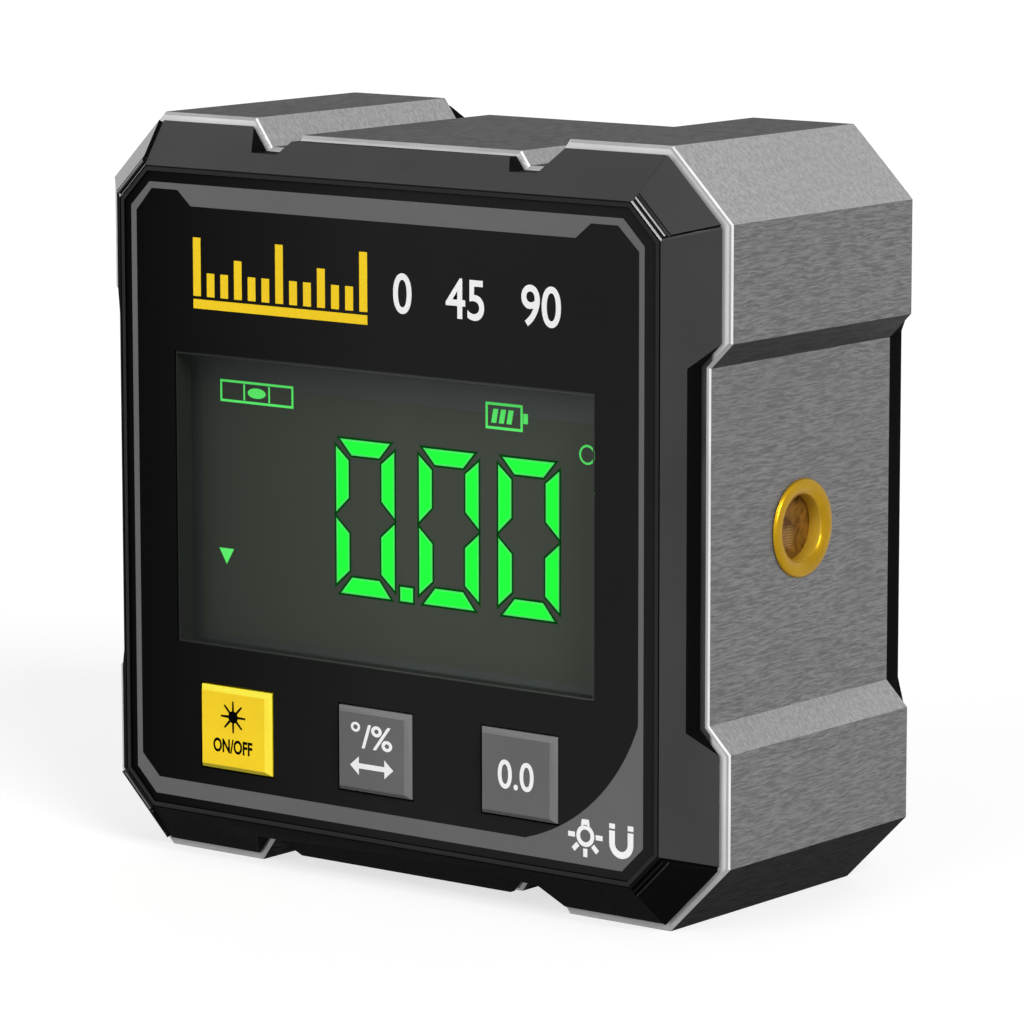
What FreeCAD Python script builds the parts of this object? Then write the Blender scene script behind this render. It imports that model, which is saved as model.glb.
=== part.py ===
"""Digital level box: an aluminium frame between two plastic covers, with a side laser.

Millimetres. +X is to the right of the display, +Y points away from it, +Z is up.
The origin is in the middle of the base, half-way between the front of the keys and the rear face.
"""
import FreeCAD
import Part

import math
import os

Vector = FreeCAD.Vector
ALONG_X = Vector(1, 0, 0)
ALONG_Y = Vector(0, 1, 0)

# Aluminium frame: outline in the XZ plane.
HALF_WIDTH = 31.0
HEIGHT = 60.5
FRAME_DEPTH = 24.5
CORNER_CHAMFER = 5.6
PAD_INNER_EDGE = 15.7       # measuring pads of the top and bottom faces start here
CHANNEL_OUTER = 14.1        # floor of the channel beside each pad
CHANNEL_INNER = 11.8
CHANNEL_DEPTH = 2.25
MIDDLE_HALF = 11.0          # middle section between the channels
MIDDLE_STEP = 1.15          # lies this far below the pads
SIDE_RECESS = 2.0
SIDE_RECESS_LOW = 16.5
SIDE_RECESS_HIGH = 43.9
SIDE_RECESS_SLOPE = 2.0
POLISHED_EDGE = 0.25
CAVITY_HALF_WIDTH = 26.8
CAVITY_LOW = 4.05
CAVITY_RADIUS = 3.0

# Depths of the covers.
FRONT_DEPTH = 3.6
REAR_DEPTH = 4.55
KEY_PROUD = 0.5             # keys stand this far above the label
LABEL_SINK = 0.15           # label lies this far below the rim around it
LABEL_THICKNESS = 0.2

# Covers.
COVER_INSET = 0.65          # the frame's edge shows around each cover
CHANNEL_INSET = 0.3         # less of it in the channels
RECESS_INSET = 0.5
MIDDLE_TOP_INSET = 0.4
MIDDLE_BOTTOM_INSET = 0.05
SHADOW_GAP = 0.3
SHADOW_INSET = 0.3
FACE_CORNER_LEG = 2.8       # corner cut of the flat front and rear faces
RIM_WIDTH = 0.45
RIM_GROOVE_WIDTH = 0.12
RIM_GROOVE_DEPTH = 0.2
CORNER_PAD_HEIGHT = 0.33
CORNER_PAD_MARGIN = 0.2
CORNER_PAD_SETBACK = 0.35
LIP_CLEARANCE = 0.1
LIP_THICKNESS = 1.2
LIP_LENGTH = 2.0
FRONT_WALL_INSIDE = 1.45    # inner face of the front wall, in front of the frame
REAR_WALL = 1.8

# Display opening in the front cover, and the stack behind it.
OPENING_LEFT = -21.5
OPENING_RIGHT = 20.8
OPENING_LOW = 17.95
OPENING_HIGH = 41.75
WINDOW_THICKNESS = 0.9
WINDOW_OVERLAP = 1.35
WINDOW_SINK = 0.1           # its middle fills the opening to just below the label
WINDOW_CLEARANCE = 0.1
STACK_GAP = 0.05
LCD_SIDE_OVERLAP = 1.8
LCD_LOW_OVERLAP = 1.2
LCD_LEDGE = 2.4             # contact ledge above the rear glass
GLASS_THICKNESS = 1.0
BACKLIGHT_THICKNESS = 1.6
HOLDER_WALL = 1.0
HOLDER_CLEARANCE = 0.2

# Keys, left to right, with their switches.
KEYS = ("laser", "unit", "zero")
KEY_PITCH = 14.4
KEY_MIDDLE_X = -0.8
KEY_WIDTH = 7.4
KEY_HEIGHT = 6.8
KEY_Z = 11.4
KEY_BEVEL = 0.4
KEY_GAP = 0.15
KEY_FLANGE = 0.5
KEY_FLANGE_THICKNESS = 0.7
KEY_POST_RADIUS = 1.4
KEY_POST_LENGTH = 0.4
KEY_REST_GAP = 0.03
SWITCH_SIDE = 6.0
SWITCH_HEIGHT = 3.4
PLUNGER_RADIUS = 1.6
PLUNGER_LENGTH = 1.5
PLUNGER_FIT = 0.05

# Main board.
BOARD_GAP = 3.7             # from the frame's front plane to the board
BOARD_THICKNESS = 1.0
BOARD_HALF_WIDTH = 25.0
BOARD_LOW = 5.2
BOARD_NOTCH_X = 19.6
BOARD_NOTCH_Z = 11.3
BOARD_SCREW_SPOTS = ((-8.0, 11.4), (6.4, 11.4), (-17.5, 49.4), (17.5, 49.4))
BOARD_BOSS_RADIUS = 1.8
BOARD_SCREW_RADIUS = 0.83

# Housing screws.
HOUSING_SCREW_X = 22.3
HOUSING_SCREW_Z = 8.6
HOUSING_BOSS_RADIUS = 2.4
HOUSING_BOSS_MEETING = 13.0  # behind the frame's front plane
HOUSING_SCREW_RADIUS = 1.2
HOUSING_HEAD_RADIUS = 2.1
HOUSING_HEAD_HEIGHT = 1.3

# Laser.
LASER_Z = HEIGHT / 2
BEZEL_RADIUS = 3.9
BEZEL_PROUD = 0.35
BEZEL_SHANK_RADIUS = 3.55
BEZEL_BORE_RADIUS = 2.6
BEZEL_BORE_DEPTH = 1.5
LASER_WINDOW_RADIUS = 3.0
LASER_WINDOW_THICKNESS = 0.9
BARREL_RADIUS = 3.0
BARREL_BORE = 2.2
BARREL_LENGTH = 15.6
FIT = 0.05

# Cells and their tray.
CELL_RADIUS = 5.2
CELL_LENGTH = 44.5
CELL_NUB_RADIUS = 1.8
CELL_NUB_LENGTH = 0.8
CELL_PITCH = 10.8
TRAY_FRONT = 15.85          # behind the frame's front plane
TRAY_WALL = 0.85
TRAY_HALF_LENGTH = 24.2
CONTACT_THICKNESS = 0.3
SPRING_WIRE = 0.3
SPRING_RADIUS = 3.2
SPRING_TIP_RADIUS = 1.9
SPRING_TURNS = 3

# Battery door.
DOOR_HALF_WIDTH = 24.9
DOOR_THICKNESS = 1.1
DOOR_MARGIN = 0.65          # seat width around the cell opening
DOOR_GAP = 0.1
DOOR_TAB_HALF = 4.0
DOOR_TAB_REACH = 4.3
DOOR_SCREW_OFFSET = 2.1
DOOR_SCREW_RADIUS = 0.95
DOOR_SCREW_HEAD_RADIUS = 1.8
DOOR_SCREW_LENGTH = 5.6

# Magnets in the base pads.
MAGNET_RADIUS = 3.0
MAGNET_THICKNESS = 2.0
MAGNET_X = 20.5
MAGNET_SPREAD = 13.5
MAGNET_SINK = 0.15

# Planes along Y, worked out from the depths above.
TOTAL_DEPTH = KEY_PROUD - LABEL_SINK + FRONT_DEPTH + FRAME_DEPTH + REAR_DEPTH
Y_KEYS = -TOTAL_DEPTH / 2
Y_LABEL = Y_KEYS + KEY_PROUD
Y_RIM = Y_LABEL - LABEL_SINK
Y_FRONT = Y_RIM + FRONT_DEPTH
Y_BACK = Y_FRONT + FRAME_DEPTH
Y_REAR = TOTAL_DEPTH / 2
Y_WALL = Y_FRONT - FRONT_WALL_INSIDE
Y_LCD = Y_WALL + WINDOW_THICKNESS + STACK_GAP
Y_BACKLIGHT = Y_LCD + 2 * GLASS_THICKNESS + STACK_GAP
Y_BOARD = Y_FRONT + BOARD_GAP
Y_BOARD_BACK = Y_BOARD + BOARD_THICKNESS
Y_LASER = Y_FRONT + FRAME_DEPTH / 2
Y_TRAY = Y_FRONT + TRAY_FRONT
Y_CELL = Y_TRAY + TRAY_WALL + CELL_RADIUS + 0.2
Y_REAR_WALL = Y_REAR - REAR_WALL
MID_Z = HEIGHT / 2


def box(x0, x1, y0, y1, z0, z1):
    return Part.makeBox(x1 - x0, y1 - y0, z1 - z0, Vector(x0, y0, z0))


def cylinder_x(radius, y, z, x0, x1):
    return Part.makeCylinder(radius, x1 - x0, Vector(x0, y, z), ALONG_X)


def cylinder_y(radius, x, z, y0, y1):
    return Part.makeCylinder(radius, y1 - y0, Vector(x, y0, z), ALONG_Y)


def polygon(points, y):
    corners = [Vector(x, y, z) for x, z in points]
    return Part.makePolygon(corners + corners[:1])


def prism(points, y0, y1):
    """Solid between two planes across Y, over a polygon of (x, z) points."""
    return Part.Face(polygon(points, y0)).extrude(Vector(0, y1 - y0, 0))


def tapered_prism(points_0, y0, points_1, y1):
    return Part.makeLoft([polygon(points_0, y0), polygon(points_1, y1)], True, True)


def rounded_box(x0, x1, y0, y1, z0, z1, radius):
    """Box whose four edges along Y are rounded."""
    solid = box(x0, x1, y0, y1, z0, z1)
    edges = [e for e in solid.Edges if abs(e.tangentAt(e.FirstParameter).y) > 0.99]
    return solid.makeFillet(radius, edges)


def joined(first, *others):
    return first.fuse(list(others)).removeSplitter()


def inset(points, distances):
    """Polygon inside a counter-clockwise one; distances has one value per edge, or one for all."""
    if not isinstance(distances, list):
        distances = [distances] * len(points)
    result = []
    for i, here in enumerate(points):
        before = points[i - 1]
        after = points[(i + 1) % len(points)]
        normals = []
        for start, end in ((before, here), (here, after)):
            length = math.dist(start, end)
            normals.append(((start[1] - end[1]) / length, (end[0] - start[0]) / length))
        (ax, az), (bx, bz) = normals
        a = distances[i - 1]
        b = distances[i]
        turn = ax * bz - az * bx
        result.append((here[0] + (a * bz - b * az) / turn, here[1] + (b * ax - a * bx) / turn))
    return result


def mirrored_outline(right_side):
    """Closed outline from its right half, listed from bottom to top."""
    return right_side + [(-x, z) for x, z in reversed(right_side)]


def frame_outline():
    lower = [
        (MIDDLE_HALF, MIDDLE_STEP),
        (CHANNEL_INNER, CHANNEL_DEPTH),
        (CHANNEL_OUTER, CHANNEL_DEPTH),
        (PAD_INNER_EDGE, 0.0),
        (HALF_WIDTH - CORNER_CHAMFER, 0.0),
        (HALF_WIDTH, CORNER_CHAMFER),
    ]
    upper = [(x, HEIGHT - z) for x, z in reversed(lower)]
    recess = [
        (HALF_WIDTH, SIDE_RECESS_LOW - SIDE_RECESS_SLOPE),
        (HALF_WIDTH - SIDE_RECESS, SIDE_RECESS_LOW),
        (HALF_WIDTH - SIDE_RECESS, SIDE_RECESS_HIGH),
        (HALF_WIDTH, SIDE_RECESS_HIGH + SIDE_RECESS_SLOPE),
    ]
    return mirrored_outline(lower + recess + upper)


def cover_outline(extra):
    """Frame outline drawn in by each face's inset and by extra."""
    channel = [CHANNEL_INSET + extra] * 3
    pad = [COVER_INSET + extra] * 3
    side = channel + pad + [RECESS_INSET + extra] * 3 + pad + channel
    return inset(frame_outline(), side + [MIDDLE_TOP_INSET + extra] + side[::-1] + [MIDDLE_BOTTOM_INSET + extra])


def octagon(distance, leg):
    """Eight-sided outline, distance inside the frame's faces, with corner cuts of the given leg."""
    right = HALF_WIDTH - distance
    right_side = [
        (right - leg, distance),
        (right, distance + leg),
        (right, HEIGHT - distance - leg),
        (right - leg, HEIGHT - distance),
    ]
    return mirrored_outline(right_side)


def cavity(extra, y0, y1):
    """Rounded space inside the frame, shrunk by extra."""
    half = CAVITY_HALF_WIDTH - extra
    low = CAVITY_LOW + extra
    return rounded_box(-half, half, y0, y1, low, HEIGHT - low, CAVITY_RADIUS - extra)


def housing_screw_spots():
    return [(x, z) for x in (-HOUSING_SCREW_X, HOUSING_SCREW_X)
            for z in (HOUSING_SCREW_Z, HEIGHT - HOUSING_SCREW_Z)]


def key_centres():
    return {name: KEY_MIDDLE_X + (i - 1) * KEY_PITCH for i, name in enumerate(KEYS)}


def aluminium_frame():
    outline = frame_outline()
    edge = inset(outline, POLISHED_EDGE)
    front = tapered_prism(edge, Y_FRONT, outline, Y_FRONT + POLISHED_EDGE)
    middle = prism(outline, Y_FRONT + POLISHED_EDGE, Y_BACK - POLISHED_EDGE)
    back = tapered_prism(outline, Y_BACK - POLISHED_EDGE, edge, Y_BACK)
    frame = joined(front, middle, back)
    frame = frame.cut(cavity(0, Y_FRONT - 1, Y_BACK + 1))
    recess_face = HALF_WIDTH - SIDE_RECESS
    holes = [cylinder_x(BEZEL_SHANK_RADIUS + FIT, Y_LASER, LASER_Z, CAVITY_HALF_WIDTH - 1, recess_face + 1)]
    for z in laser_mount_screw_heights():
        holes.append(cylinder_x(0.83, Y_LASER, z, CAVITY_HALF_WIDTH - 1, CAVITY_HALF_WIDTH + 1.6))
    depth = MAGNET_SINK + MAGNET_THICKNESS + FIT
    for x, y in magnet_spots():
        holes.append(Part.makeCylinder(MAGNET_RADIUS + FIT, depth, Vector(x, y, 0)))
    return frame.cut(holes)


def corner_pads(y_base, y_face, distance_face):
    """Raised pads on the four bevelled corners of a cover, and the fine line along each."""
    base_leg = CORNER_CHAMFER - COVER_INSET * (2 - math.sqrt(2))
    face = octagon(distance_face, FACE_CORNER_LEG)
    base = octagon(COVER_INSET, base_leg)
    centre = Vector(0, (y_base + y_face) / 2, MID_Z)
    pads = []
    lines = []
    for i in (0, 2, 4, 6):
        face_a, face_b = [Vector(x, y_face, z) for x, z in (face[i], face[i + 1])]
        base_a, base_b = [Vector(x, y_base, z) for x, z in (base[i], base[i + 1])]
        across = (face_b - face_a).normalize()
        face_mid = (face_a + face_b) * 0.5
        base_mid = (base_a + base_b) * 0.5
        down = base_mid - face_mid
        length = down.Length
        down.normalize()
        outward = across.cross(down)
        if outward.dot(face_mid - centre) < 0:
            outward = outward * -1
        half_face = (face_b - face_a).Length / 2
        half_base = (base_b - base_a).Length / 2

        def spot(along, side):
            half = half_face + (half_base - half_face) * along / length - CORNER_PAD_MARGIN
            return face_mid + down * along + across * (side * half)

        corners = [spot(CORNER_PAD_SETBACK, -1), spot(CORNER_PAD_SETBACK, 1), spot(length, 1), spot(length, -1)]
        low = [c - outward * CORNER_PAD_HEIGHT for c in corners]
        pads.append(Part.Face(Part.makePolygon(low + low[:1])).extrude(outward * (2 * CORNER_PAD_HEIGHT)))
        line = [spot(CORNER_PAD_SETBACK + s, side) + across * (side * 0.5)
                for s, side in ((0.3, -1), (0.3, 1), (0.5, 1), (0.5, -1))]
        line = [c + outward * (CORNER_PAD_HEIGHT - 0.2) for c in line]
        lines.append(Part.Face(Part.makePolygon(line + line[:1])).extrude(outward * 0.5))
    return pads, lines


def cover_shell(y_frame, y_face):
    """Bevelled cover block on one side of the frame, solid inside."""
    side = 1 if y_face > y_frame else -1
    y_base = y_frame + side * SHADOW_GAP
    bevel = abs(y_face - y_base)
    distance_face = COVER_INSET + bevel
    base_leg = CORNER_CHAMFER - COVER_INSET * (2 - math.sqrt(2))
    foot = prism(cover_outline(SHADOW_INSET), y_frame, y_base)
    block = tapered_prism(octagon(COVER_INSET, base_leg), y_base, octagon(distance_face, FACE_CORNER_LEG), y_face)
    block = block.common(prism(cover_outline(0), y_base, y_face))
    pads, lines = corner_pads(y_base, y_face, distance_face)
    return joined(foot, block, *pads).cut(lines)


def lip(y0, y1):
    outer = cavity(LIP_CLEARANCE, y0, y1)
    return outer.cut(cavity(LIP_CLEARANCE + LIP_THICKNESS, y0 - 1, y1 + 1))


def face_outline():
    return octagon(COVER_INSET + FRONT_DEPTH - SHADOW_GAP, FACE_CORNER_LEG)


def label_outline():
    return inset(face_outline(), RIM_WIDTH)


def rim_groove():
    outer = prism(face_outline(), Y_RIM - 1, Y_RIM + RIM_GROOVE_DEPTH)
    return outer.cut(prism(inset(face_outline(), RIM_GROOVE_WIDTH), Y_RIM - 2, Y_RIM + 1))


def opening(margin, y0, y1):
    return box(OPENING_LEFT - margin, OPENING_RIGHT + margin, y0, y1, OPENING_LOW - margin, OPENING_HIGH + margin)


def key_block(x, margin, y0, y1):
    half_width = KEY_WIDTH / 2 + margin
    half_height = KEY_HEIGHT / 2 + margin
    return box(x - half_width, x + half_width, y0, y1, KEY_Z - half_height, KEY_Z + half_height)


def front_cover():
    cover = cover_shell(Y_FRONT, Y_RIM)
    cover = joined(cover, lip(Y_FRONT - SHADOW_GAP, Y_FRONT + LIP_LENGTH))
    cover = cover.cut(cavity(LIP_CLEARANCE + LIP_THICKNESS, Y_WALL, Y_FRONT + LIP_LENGTH + 1))
    bosses = [cylinder_y(BOARD_BOSS_RADIUS, x, z, Y_WALL - 0.5, Y_BOARD) for x, z in BOARD_SCREW_SPOTS]
    for x, z in housing_screw_spots():
        bosses.append(cylinder_y(HOUSING_BOSS_RADIUS, x, z, Y_WALL - 0.5, Y_FRONT + HOUSING_BOSS_MEETING))
    cover = joined(cover, *bosses)
    holes = [prism(label_outline(), Y_RIM - 1, Y_LABEL + LABEL_THICKNESS), rim_groove()]
    holes.append(opening(0, Y_RIM - 1, Y_FRONT))
    for x in key_centres().values():
        holes.append(key_block(x, KEY_GAP, Y_RIM - 1, Y_FRONT))
    for x, z in BOARD_SCREW_SPOTS:
        holes.append(cylinder_y(BOARD_SCREW_RADIUS + 0.02, x, z, Y_BOARD - 4, Y_BOARD + 1))
    for x, z in housing_screw_spots():
        end = Y_FRONT + HOUSING_BOSS_MEETING
        holes.append(cylinder_y(HOUSING_SCREW_RADIUS + 0.02, x, z, end - 10, end + 1))
    return cover.cut(holes)


def front_label():
    label = prism(inset(label_outline(), FIT), Y_LABEL, Y_LABEL + LABEL_THICKNESS)
    holes = [opening(0, Y_LABEL - 1, Y_LABEL + 1)]
    holes += [key_block(x, KEY_GAP, Y_LABEL - 1, Y_LABEL + 1) for x in key_centres().values()]
    return label.cut(holes)


def display_window():
    flange = opening(WINDOW_OVERLAP, Y_WALL, Y_WALL + WINDOW_THICKNESS)
    return joined(flange, opening(-WINDOW_CLEARANCE, Y_LABEL + WINDOW_SINK, Y_WALL))


def lcd_edges():
    left = OPENING_LEFT - LCD_SIDE_OVERLAP
    right = OPENING_RIGHT + LCD_SIDE_OVERLAP
    low = OPENING_LOW - LCD_LOW_OVERLAP
    high = OPENING_HIGH + LCD_LOW_OVERLAP
    return left, right, low, high


def lcd_panel():
    """Front glass with the contact ledge at its top, and the shorter rear glass."""
    left, right, low, high = lcd_edges()
    front = box(left, right, Y_LCD, Y_LCD + GLASS_THICKNESS, low, high + LCD_LEDGE)
    rear = box(left, right, Y_LCD + GLASS_THICKNESS, Y_LCD + 2 * GLASS_THICKNESS, low, high)
    return joined(front, rear)


def backlight_panel():
    left, right, low, high = lcd_edges()
    panel = box(left + 1.6, right - 0.3, Y_BACKLIGHT, Y_BACKLIGHT + BACKLIGHT_THICKNESS, low + 0.2, high - 0.2)
    edges = [e for e in panel.Edges if abs(e.tangentAt(e.FirstParameter).y) > 0.99]
    return panel.makeChamfer(0.5, edges)


def backlight_leds():
    left = lcd_edges()[0]
    leds = []
    for z in (MID_Z - 6, MID_Z + 6):
        housing = box(left + 0.3, left + 1.3, Y_BACKLIGHT + 0.1, Y_BOARD, z - 1.5, z + 1.5)
        emitter = box(left + 1.3, left + 1.5, Y_BACKLIGHT + 0.3, Y_BACKLIGHT + 1.3, z - 1.1, z + 1.1)
        leds.append(joined(housing, emitter))
    return Part.makeCompound(leds)


def display_frame():
    """Plastic ring round the display stack, with two bars under the backlight panel."""
    left, right, low, high = lcd_edges()
    high += LCD_LEDGE
    gap = HOLDER_CLEARANCE
    wall = HOLDER_CLEARANCE + HOLDER_WALL
    outer = box(left - wall, right + wall, Y_LCD, Y_BOARD, low - wall, high + wall)
    inner = box(left - gap, right + gap, Y_LCD - 1, Y_BOARD + 1, low - gap, high + gap)
    y_bar = Y_BACKLIGHT + BACKLIGHT_THICKNESS
    bars = [box(left + 3, right + wall, y_bar, Y_BOARD, z, z + 1.7) for z in (low - gap, high - LCD_LEDGE - 2.2)]
    bars.append(box(right - 1.5, right + wall, y_bar, Y_BOARD, low - gap, high - LCD_LEDGE - 0.5))
    return joined(outer.cut(inner), *bars)


def contact_strip():
    left, right, low, high = lcd_edges()
    z0 = high + 0.3
    return box(left + 1.5, right - 1.5, Y_LCD + GLASS_THICKNESS, Y_BOARD, z0, z0 + 1.8)


def main_board():
    right_side = [
        (BOARD_NOTCH_X, BOARD_LOW),
        (BOARD_NOTCH_X, BOARD_NOTCH_Z),
        (BOARD_HALF_WIDTH, BOARD_NOTCH_Z),
        (BOARD_HALF_WIDTH, HEIGHT - BOARD_NOTCH_Z),
        (BOARD_NOTCH_X, HEIGHT - BOARD_NOTCH_Z),
        (BOARD_NOTCH_X, HEIGHT - BOARD_LOW),
    ]
    board = prism(mirrored_outline(right_side), Y_BOARD, Y_BOARD_BACK)
    holes = [cylinder_y(1.0, x, z, Y_BOARD - 1, Y_BOARD_BACK + 1) for x, z in BOARD_SCREW_SPOTS]
    return board.cut(holes)


def screw(radius, length, head_radius, head_height, x, y_head, z, direction):
    """Round-headed screw along Y with a cross recess; the shank points along direction from y_head."""
    along = Vector(0, direction, 0)
    seat = Vector(x, y_head, z)
    head = Part.makeCylinder(head_radius, head_height, seat, along * -1)
    shank = Part.makeCylinder(radius, length - radius, seat, along)
    tip = Part.makeCone(radius, 0.3 * radius, radius, seat + along * (length - radius), along)
    solid = joined(head, shank, tip)
    top = y_head - direction * head_height
    depth = 0.55 * head_height
    y0, y1 = sorted((top, top + direction * depth))
    reach = 0.62 * head_radius
    slot = 0.16 * head_radius
    cross = box(x - reach, x + reach, y0, y1, z - slot, z + slot)
    return solid.cut([cross, box(x - slot, x + slot, y0, y1, z - reach, z + reach)])


def board_screws():
    return Part.makeCompound([screw(BOARD_SCREW_RADIUS, 4.4, 1.5, 1.0, x, Y_BOARD_BACK, z, -1)
                              for x, z in BOARD_SCREW_SPOTS])


def microcontroller():
    """Square flat package with leads on all four sides."""
    x, z, half, lead = -10.5, MID_Z + 1.5, 5.0, 0.9
    body = box(x - half, x + half, Y_BOARD_BACK + 0.15, Y_BOARD_BACK + 1.5, z - half, z + half)
    body = body.cut(cylinder_y(0.5, x - half + 1.2, z + half - 1.2, Y_BOARD_BACK + 1.4, Y_BOARD_BACK + 2))
    leads = []
    for i in range(11):
        shift = (i - 5) * 0.8
        for side in (-1, 1):
            a, b = sorted((side * (half - 0.1), side * (half + lead)))
            leads.append(box(x + a, x + b, Y_BOARD_BACK, Y_BOARD_BACK + 0.35, z + shift - 0.17, z + shift + 0.17))
            leads.append(box(x + shift - 0.17, x + shift + 0.17, Y_BOARD_BACK, Y_BOARD_BACK + 0.35, z + a, z + b))
    return joined(body, *leads)


def tilt_sensor():
    x, z = 10.0, 21.5
    body = box(x - 2.2, x + 2.2, Y_BOARD_BACK, Y_BOARD_BACK + 1.4, z - 2.2, z + 2.2)
    edges = [e for e in body.Edges if abs(e.CenterOfMass.y - Y_BOARD_BACK - 1.4) < 0.01]
    return body.makeChamfer(0.25, edges)


def crystal():
    y = Y_BOARD_BACK + 1.05
    can = cylinder_x(1.0, y, 42.0, -13.5, -7.5)
    pins = [cylinder_x(0.15, y, 42.0 + shift, -15.0, -13.4) for shift in (-0.4, 0.4)]
    return joined(can, *pins)


def board_components():
    """Chip resistors, chip capacitors and one tall capacitor on the rear of the board."""
    pieces = []
    for x, z in ((-18.5, 20), (-18.5, 23), (-2.5, 41), (1.0, 41), (4.5, 41), (8, 30), (8, 33), (12, 30),
                 (12, 33), (-12, 16), (-8.5, 16), (16.5, 18), (16.5, 21)):
        pieces.append(box(x - 1.0, x + 1.0, Y_BOARD_BACK, Y_BOARD_BACK + 0.7, z - 0.62, z + 0.62))
    pieces.append(cylinder_y(2.0, 14.0, 43.5, Y_BOARD_BACK, Y_BOARD_BACK + 5.4))
    pieces.append(box(-2.4, 2.6, Y_BOARD_BACK, Y_BOARD_BACK + 1.5, 14.0, 18.0))
    return Part.makeCompound(pieces)


def key(x):
    """Key cap with bevelled edges, a flange behind the cover and a post on the plunger."""
    y_flange = Y_WALL + KEY_REST_GAP
    half_width = KEY_WIDTH / 2
    half_height = KEY_HEIGHT / 2
    rectangle = [(x - half_width, KEY_Z - half_height), (x + half_width, KEY_Z - half_height),
                 (x + half_width, KEY_Z + half_height), (x - half_width, KEY_Z + half_height)]
    cap = tapered_prism(inset(rectangle, KEY_BEVEL), Y_KEYS, rectangle, Y_LABEL)
    stem = prism(rectangle, Y_LABEL, y_flange)
    flange = key_block(x, KEY_FLANGE, y_flange, y_flange + KEY_FLANGE_THICKNESS)
    y_post = y_flange + KEY_FLANGE_THICKNESS
    post = cylinder_y(KEY_POST_RADIUS, x, KEY_Z, y_post - 0.1, y_post + KEY_POST_LENGTH)
    return joined(cap, stem, flange, post)


def plunger_front():
    return Y_WALL + KEY_REST_GAP + KEY_FLANGE_THICKNESS + KEY_POST_LENGTH


def plunger(x):
    return cylinder_y(PLUNGER_RADIUS, x, KEY_Z, plunger_front(), plunger_front() + PLUNGER_LENGTH)


def switch(x):
    """Tactile switch body on the board, with the plunger's well and four feet."""
    half = SWITCH_SIDE / 2
    front = Y_BOARD - SWITCH_HEIGHT
    body = box(x - half, x + half, front, Y_BOARD, KEY_Z - half, KEY_Z + half)
    corners = [e for e in body.Edges if abs(e.tangentAt(e.FirstParameter).y) > 0.99]
    body = body.makeChamfer(0.5, corners)
    feet = []
    for side in (-1, 1):
        a, b = sorted((side * (half - 0.2), side * (half + 0.7)))
        for z in (KEY_Z - 2.2, KEY_Z + 2.2):
            feet.append(box(x + a, x + b, Y_BOARD - 0.3, Y_BOARD, z - 0.35, z + 0.35))
    well = cylinder_y(PLUNGER_RADIUS + PLUNGER_FIT, x, KEY_Z, front - 1, front + 2.2)
    return joined(body, *feet).cut(well)


def laser_bezel():
    face = HALF_WIDTH - SIDE_RECESS
    outside = face + BEZEL_PROUD
    flange = cylinder_x(BEZEL_RADIUS, Y_LASER, LASER_Z, face, outside)
    rim = [e for e in flange.Edges if abs(e.CenterOfMass.x - outside) < 0.01 and e.Closed]
    flange = flange.makeChamfer(0.2, rim)
    shank = cylinder_x(BEZEL_SHANK_RADIUS, Y_LASER, LASER_Z, CAVITY_HALF_WIDTH, face + 0.1)
    ring = joined(flange, shank)
    seat = outside - BEZEL_BORE_DEPTH
    bore = cylinder_x(BEZEL_BORE_RADIUS, Y_LASER, LASER_Z, seat - 1, outside + 1)
    mouth = Part.makeCone(BEZEL_BORE_RADIUS, BEZEL_BORE_RADIUS + 0.5, 0.3,
                          Vector(outside - 0.3, Y_LASER, LASER_Z), ALONG_X)
    pocket = cylinder_x(LASER_WINDOW_RADIUS + 0.02, Y_LASER, LASER_Z, CAVITY_HALF_WIDTH - 1, seat)
    return ring.cut([bore, mouth, pocket])


def laser_window():
    seat = HALF_WIDTH - SIDE_RECESS + BEZEL_PROUD - BEZEL_BORE_DEPTH
    return cylinder_x(LASER_WINDOW_RADIUS, Y_LASER, LASER_Z, seat - LASER_WINDOW_THICKNESS, seat)


def barrel_front():
    return CAVITY_HALF_WIDTH - 0.1


def laser_barrel():
    front = barrel_front()
    tube = cylinder_x(BARREL_RADIUS, Y_LASER, LASER_Z, front - BARREL_LENGTH, front)
    grooves = []
    for i in range(4):
        x = front - BARREL_LENGTH + 1.5 + i * 0.9
        ring = cylinder_x(BARREL_RADIUS + 1, Y_LASER, LASER_Z, x, x + 0.4)
        grooves.append(ring.cut(cylinder_x(BARREL_RADIUS - 0.2, Y_LASER, LASER_Z, x - 1, x + 1)))
    bore = cylinder_x(BARREL_BORE, Y_LASER, LASER_Z, front - BARREL_LENGTH - 1, front + 1)
    return tube.cut(grooves + [bore])


def laser_lens():
    """Plano-convex lens just inside the mouth of the barrel."""
    back = barrel_front() - 2.2
    disc = cylinder_x(BARREL_BORE, Y_LASER, LASER_Z, back, back + 1.5)
    radius = 3.6
    ball = Part.makeSphere(radius, Vector(back + 1.5 - radius, Y_LASER, LASER_Z))
    return disc.common(ball)


def laser_diode():
    back = barrel_front() - BARREL_LENGTH + 2.4
    flange = cylinder_x(BARREL_BORE, Y_LASER, LASER_Z, back, back + 1.0)
    can = cylinder_x(1.7, Y_LASER, LASER_Z, back + 1.0, back + 3.4)
    return joined(flange, can)


def laser_driver():
    """Narrow board behind the diode, with one chip on it."""
    front = barrel_front() - BARREL_LENGTH + 2.4
    board = box(front - 9.0, front, Y_LASER - 0.4, Y_LASER + 0.4, LASER_Z - 1.9, LASER_Z + 1.9)
    chip = box(front - 6.5, front - 4.0, Y_LASER + 0.4, Y_LASER + 1.3, LASER_Z - 1.2, LASER_Z + 1.2)
    return joined(board, chip)


def laser_mount_screw_heights():
    return (LASER_Z - 6.2, LASER_Z + 6.2)


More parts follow.
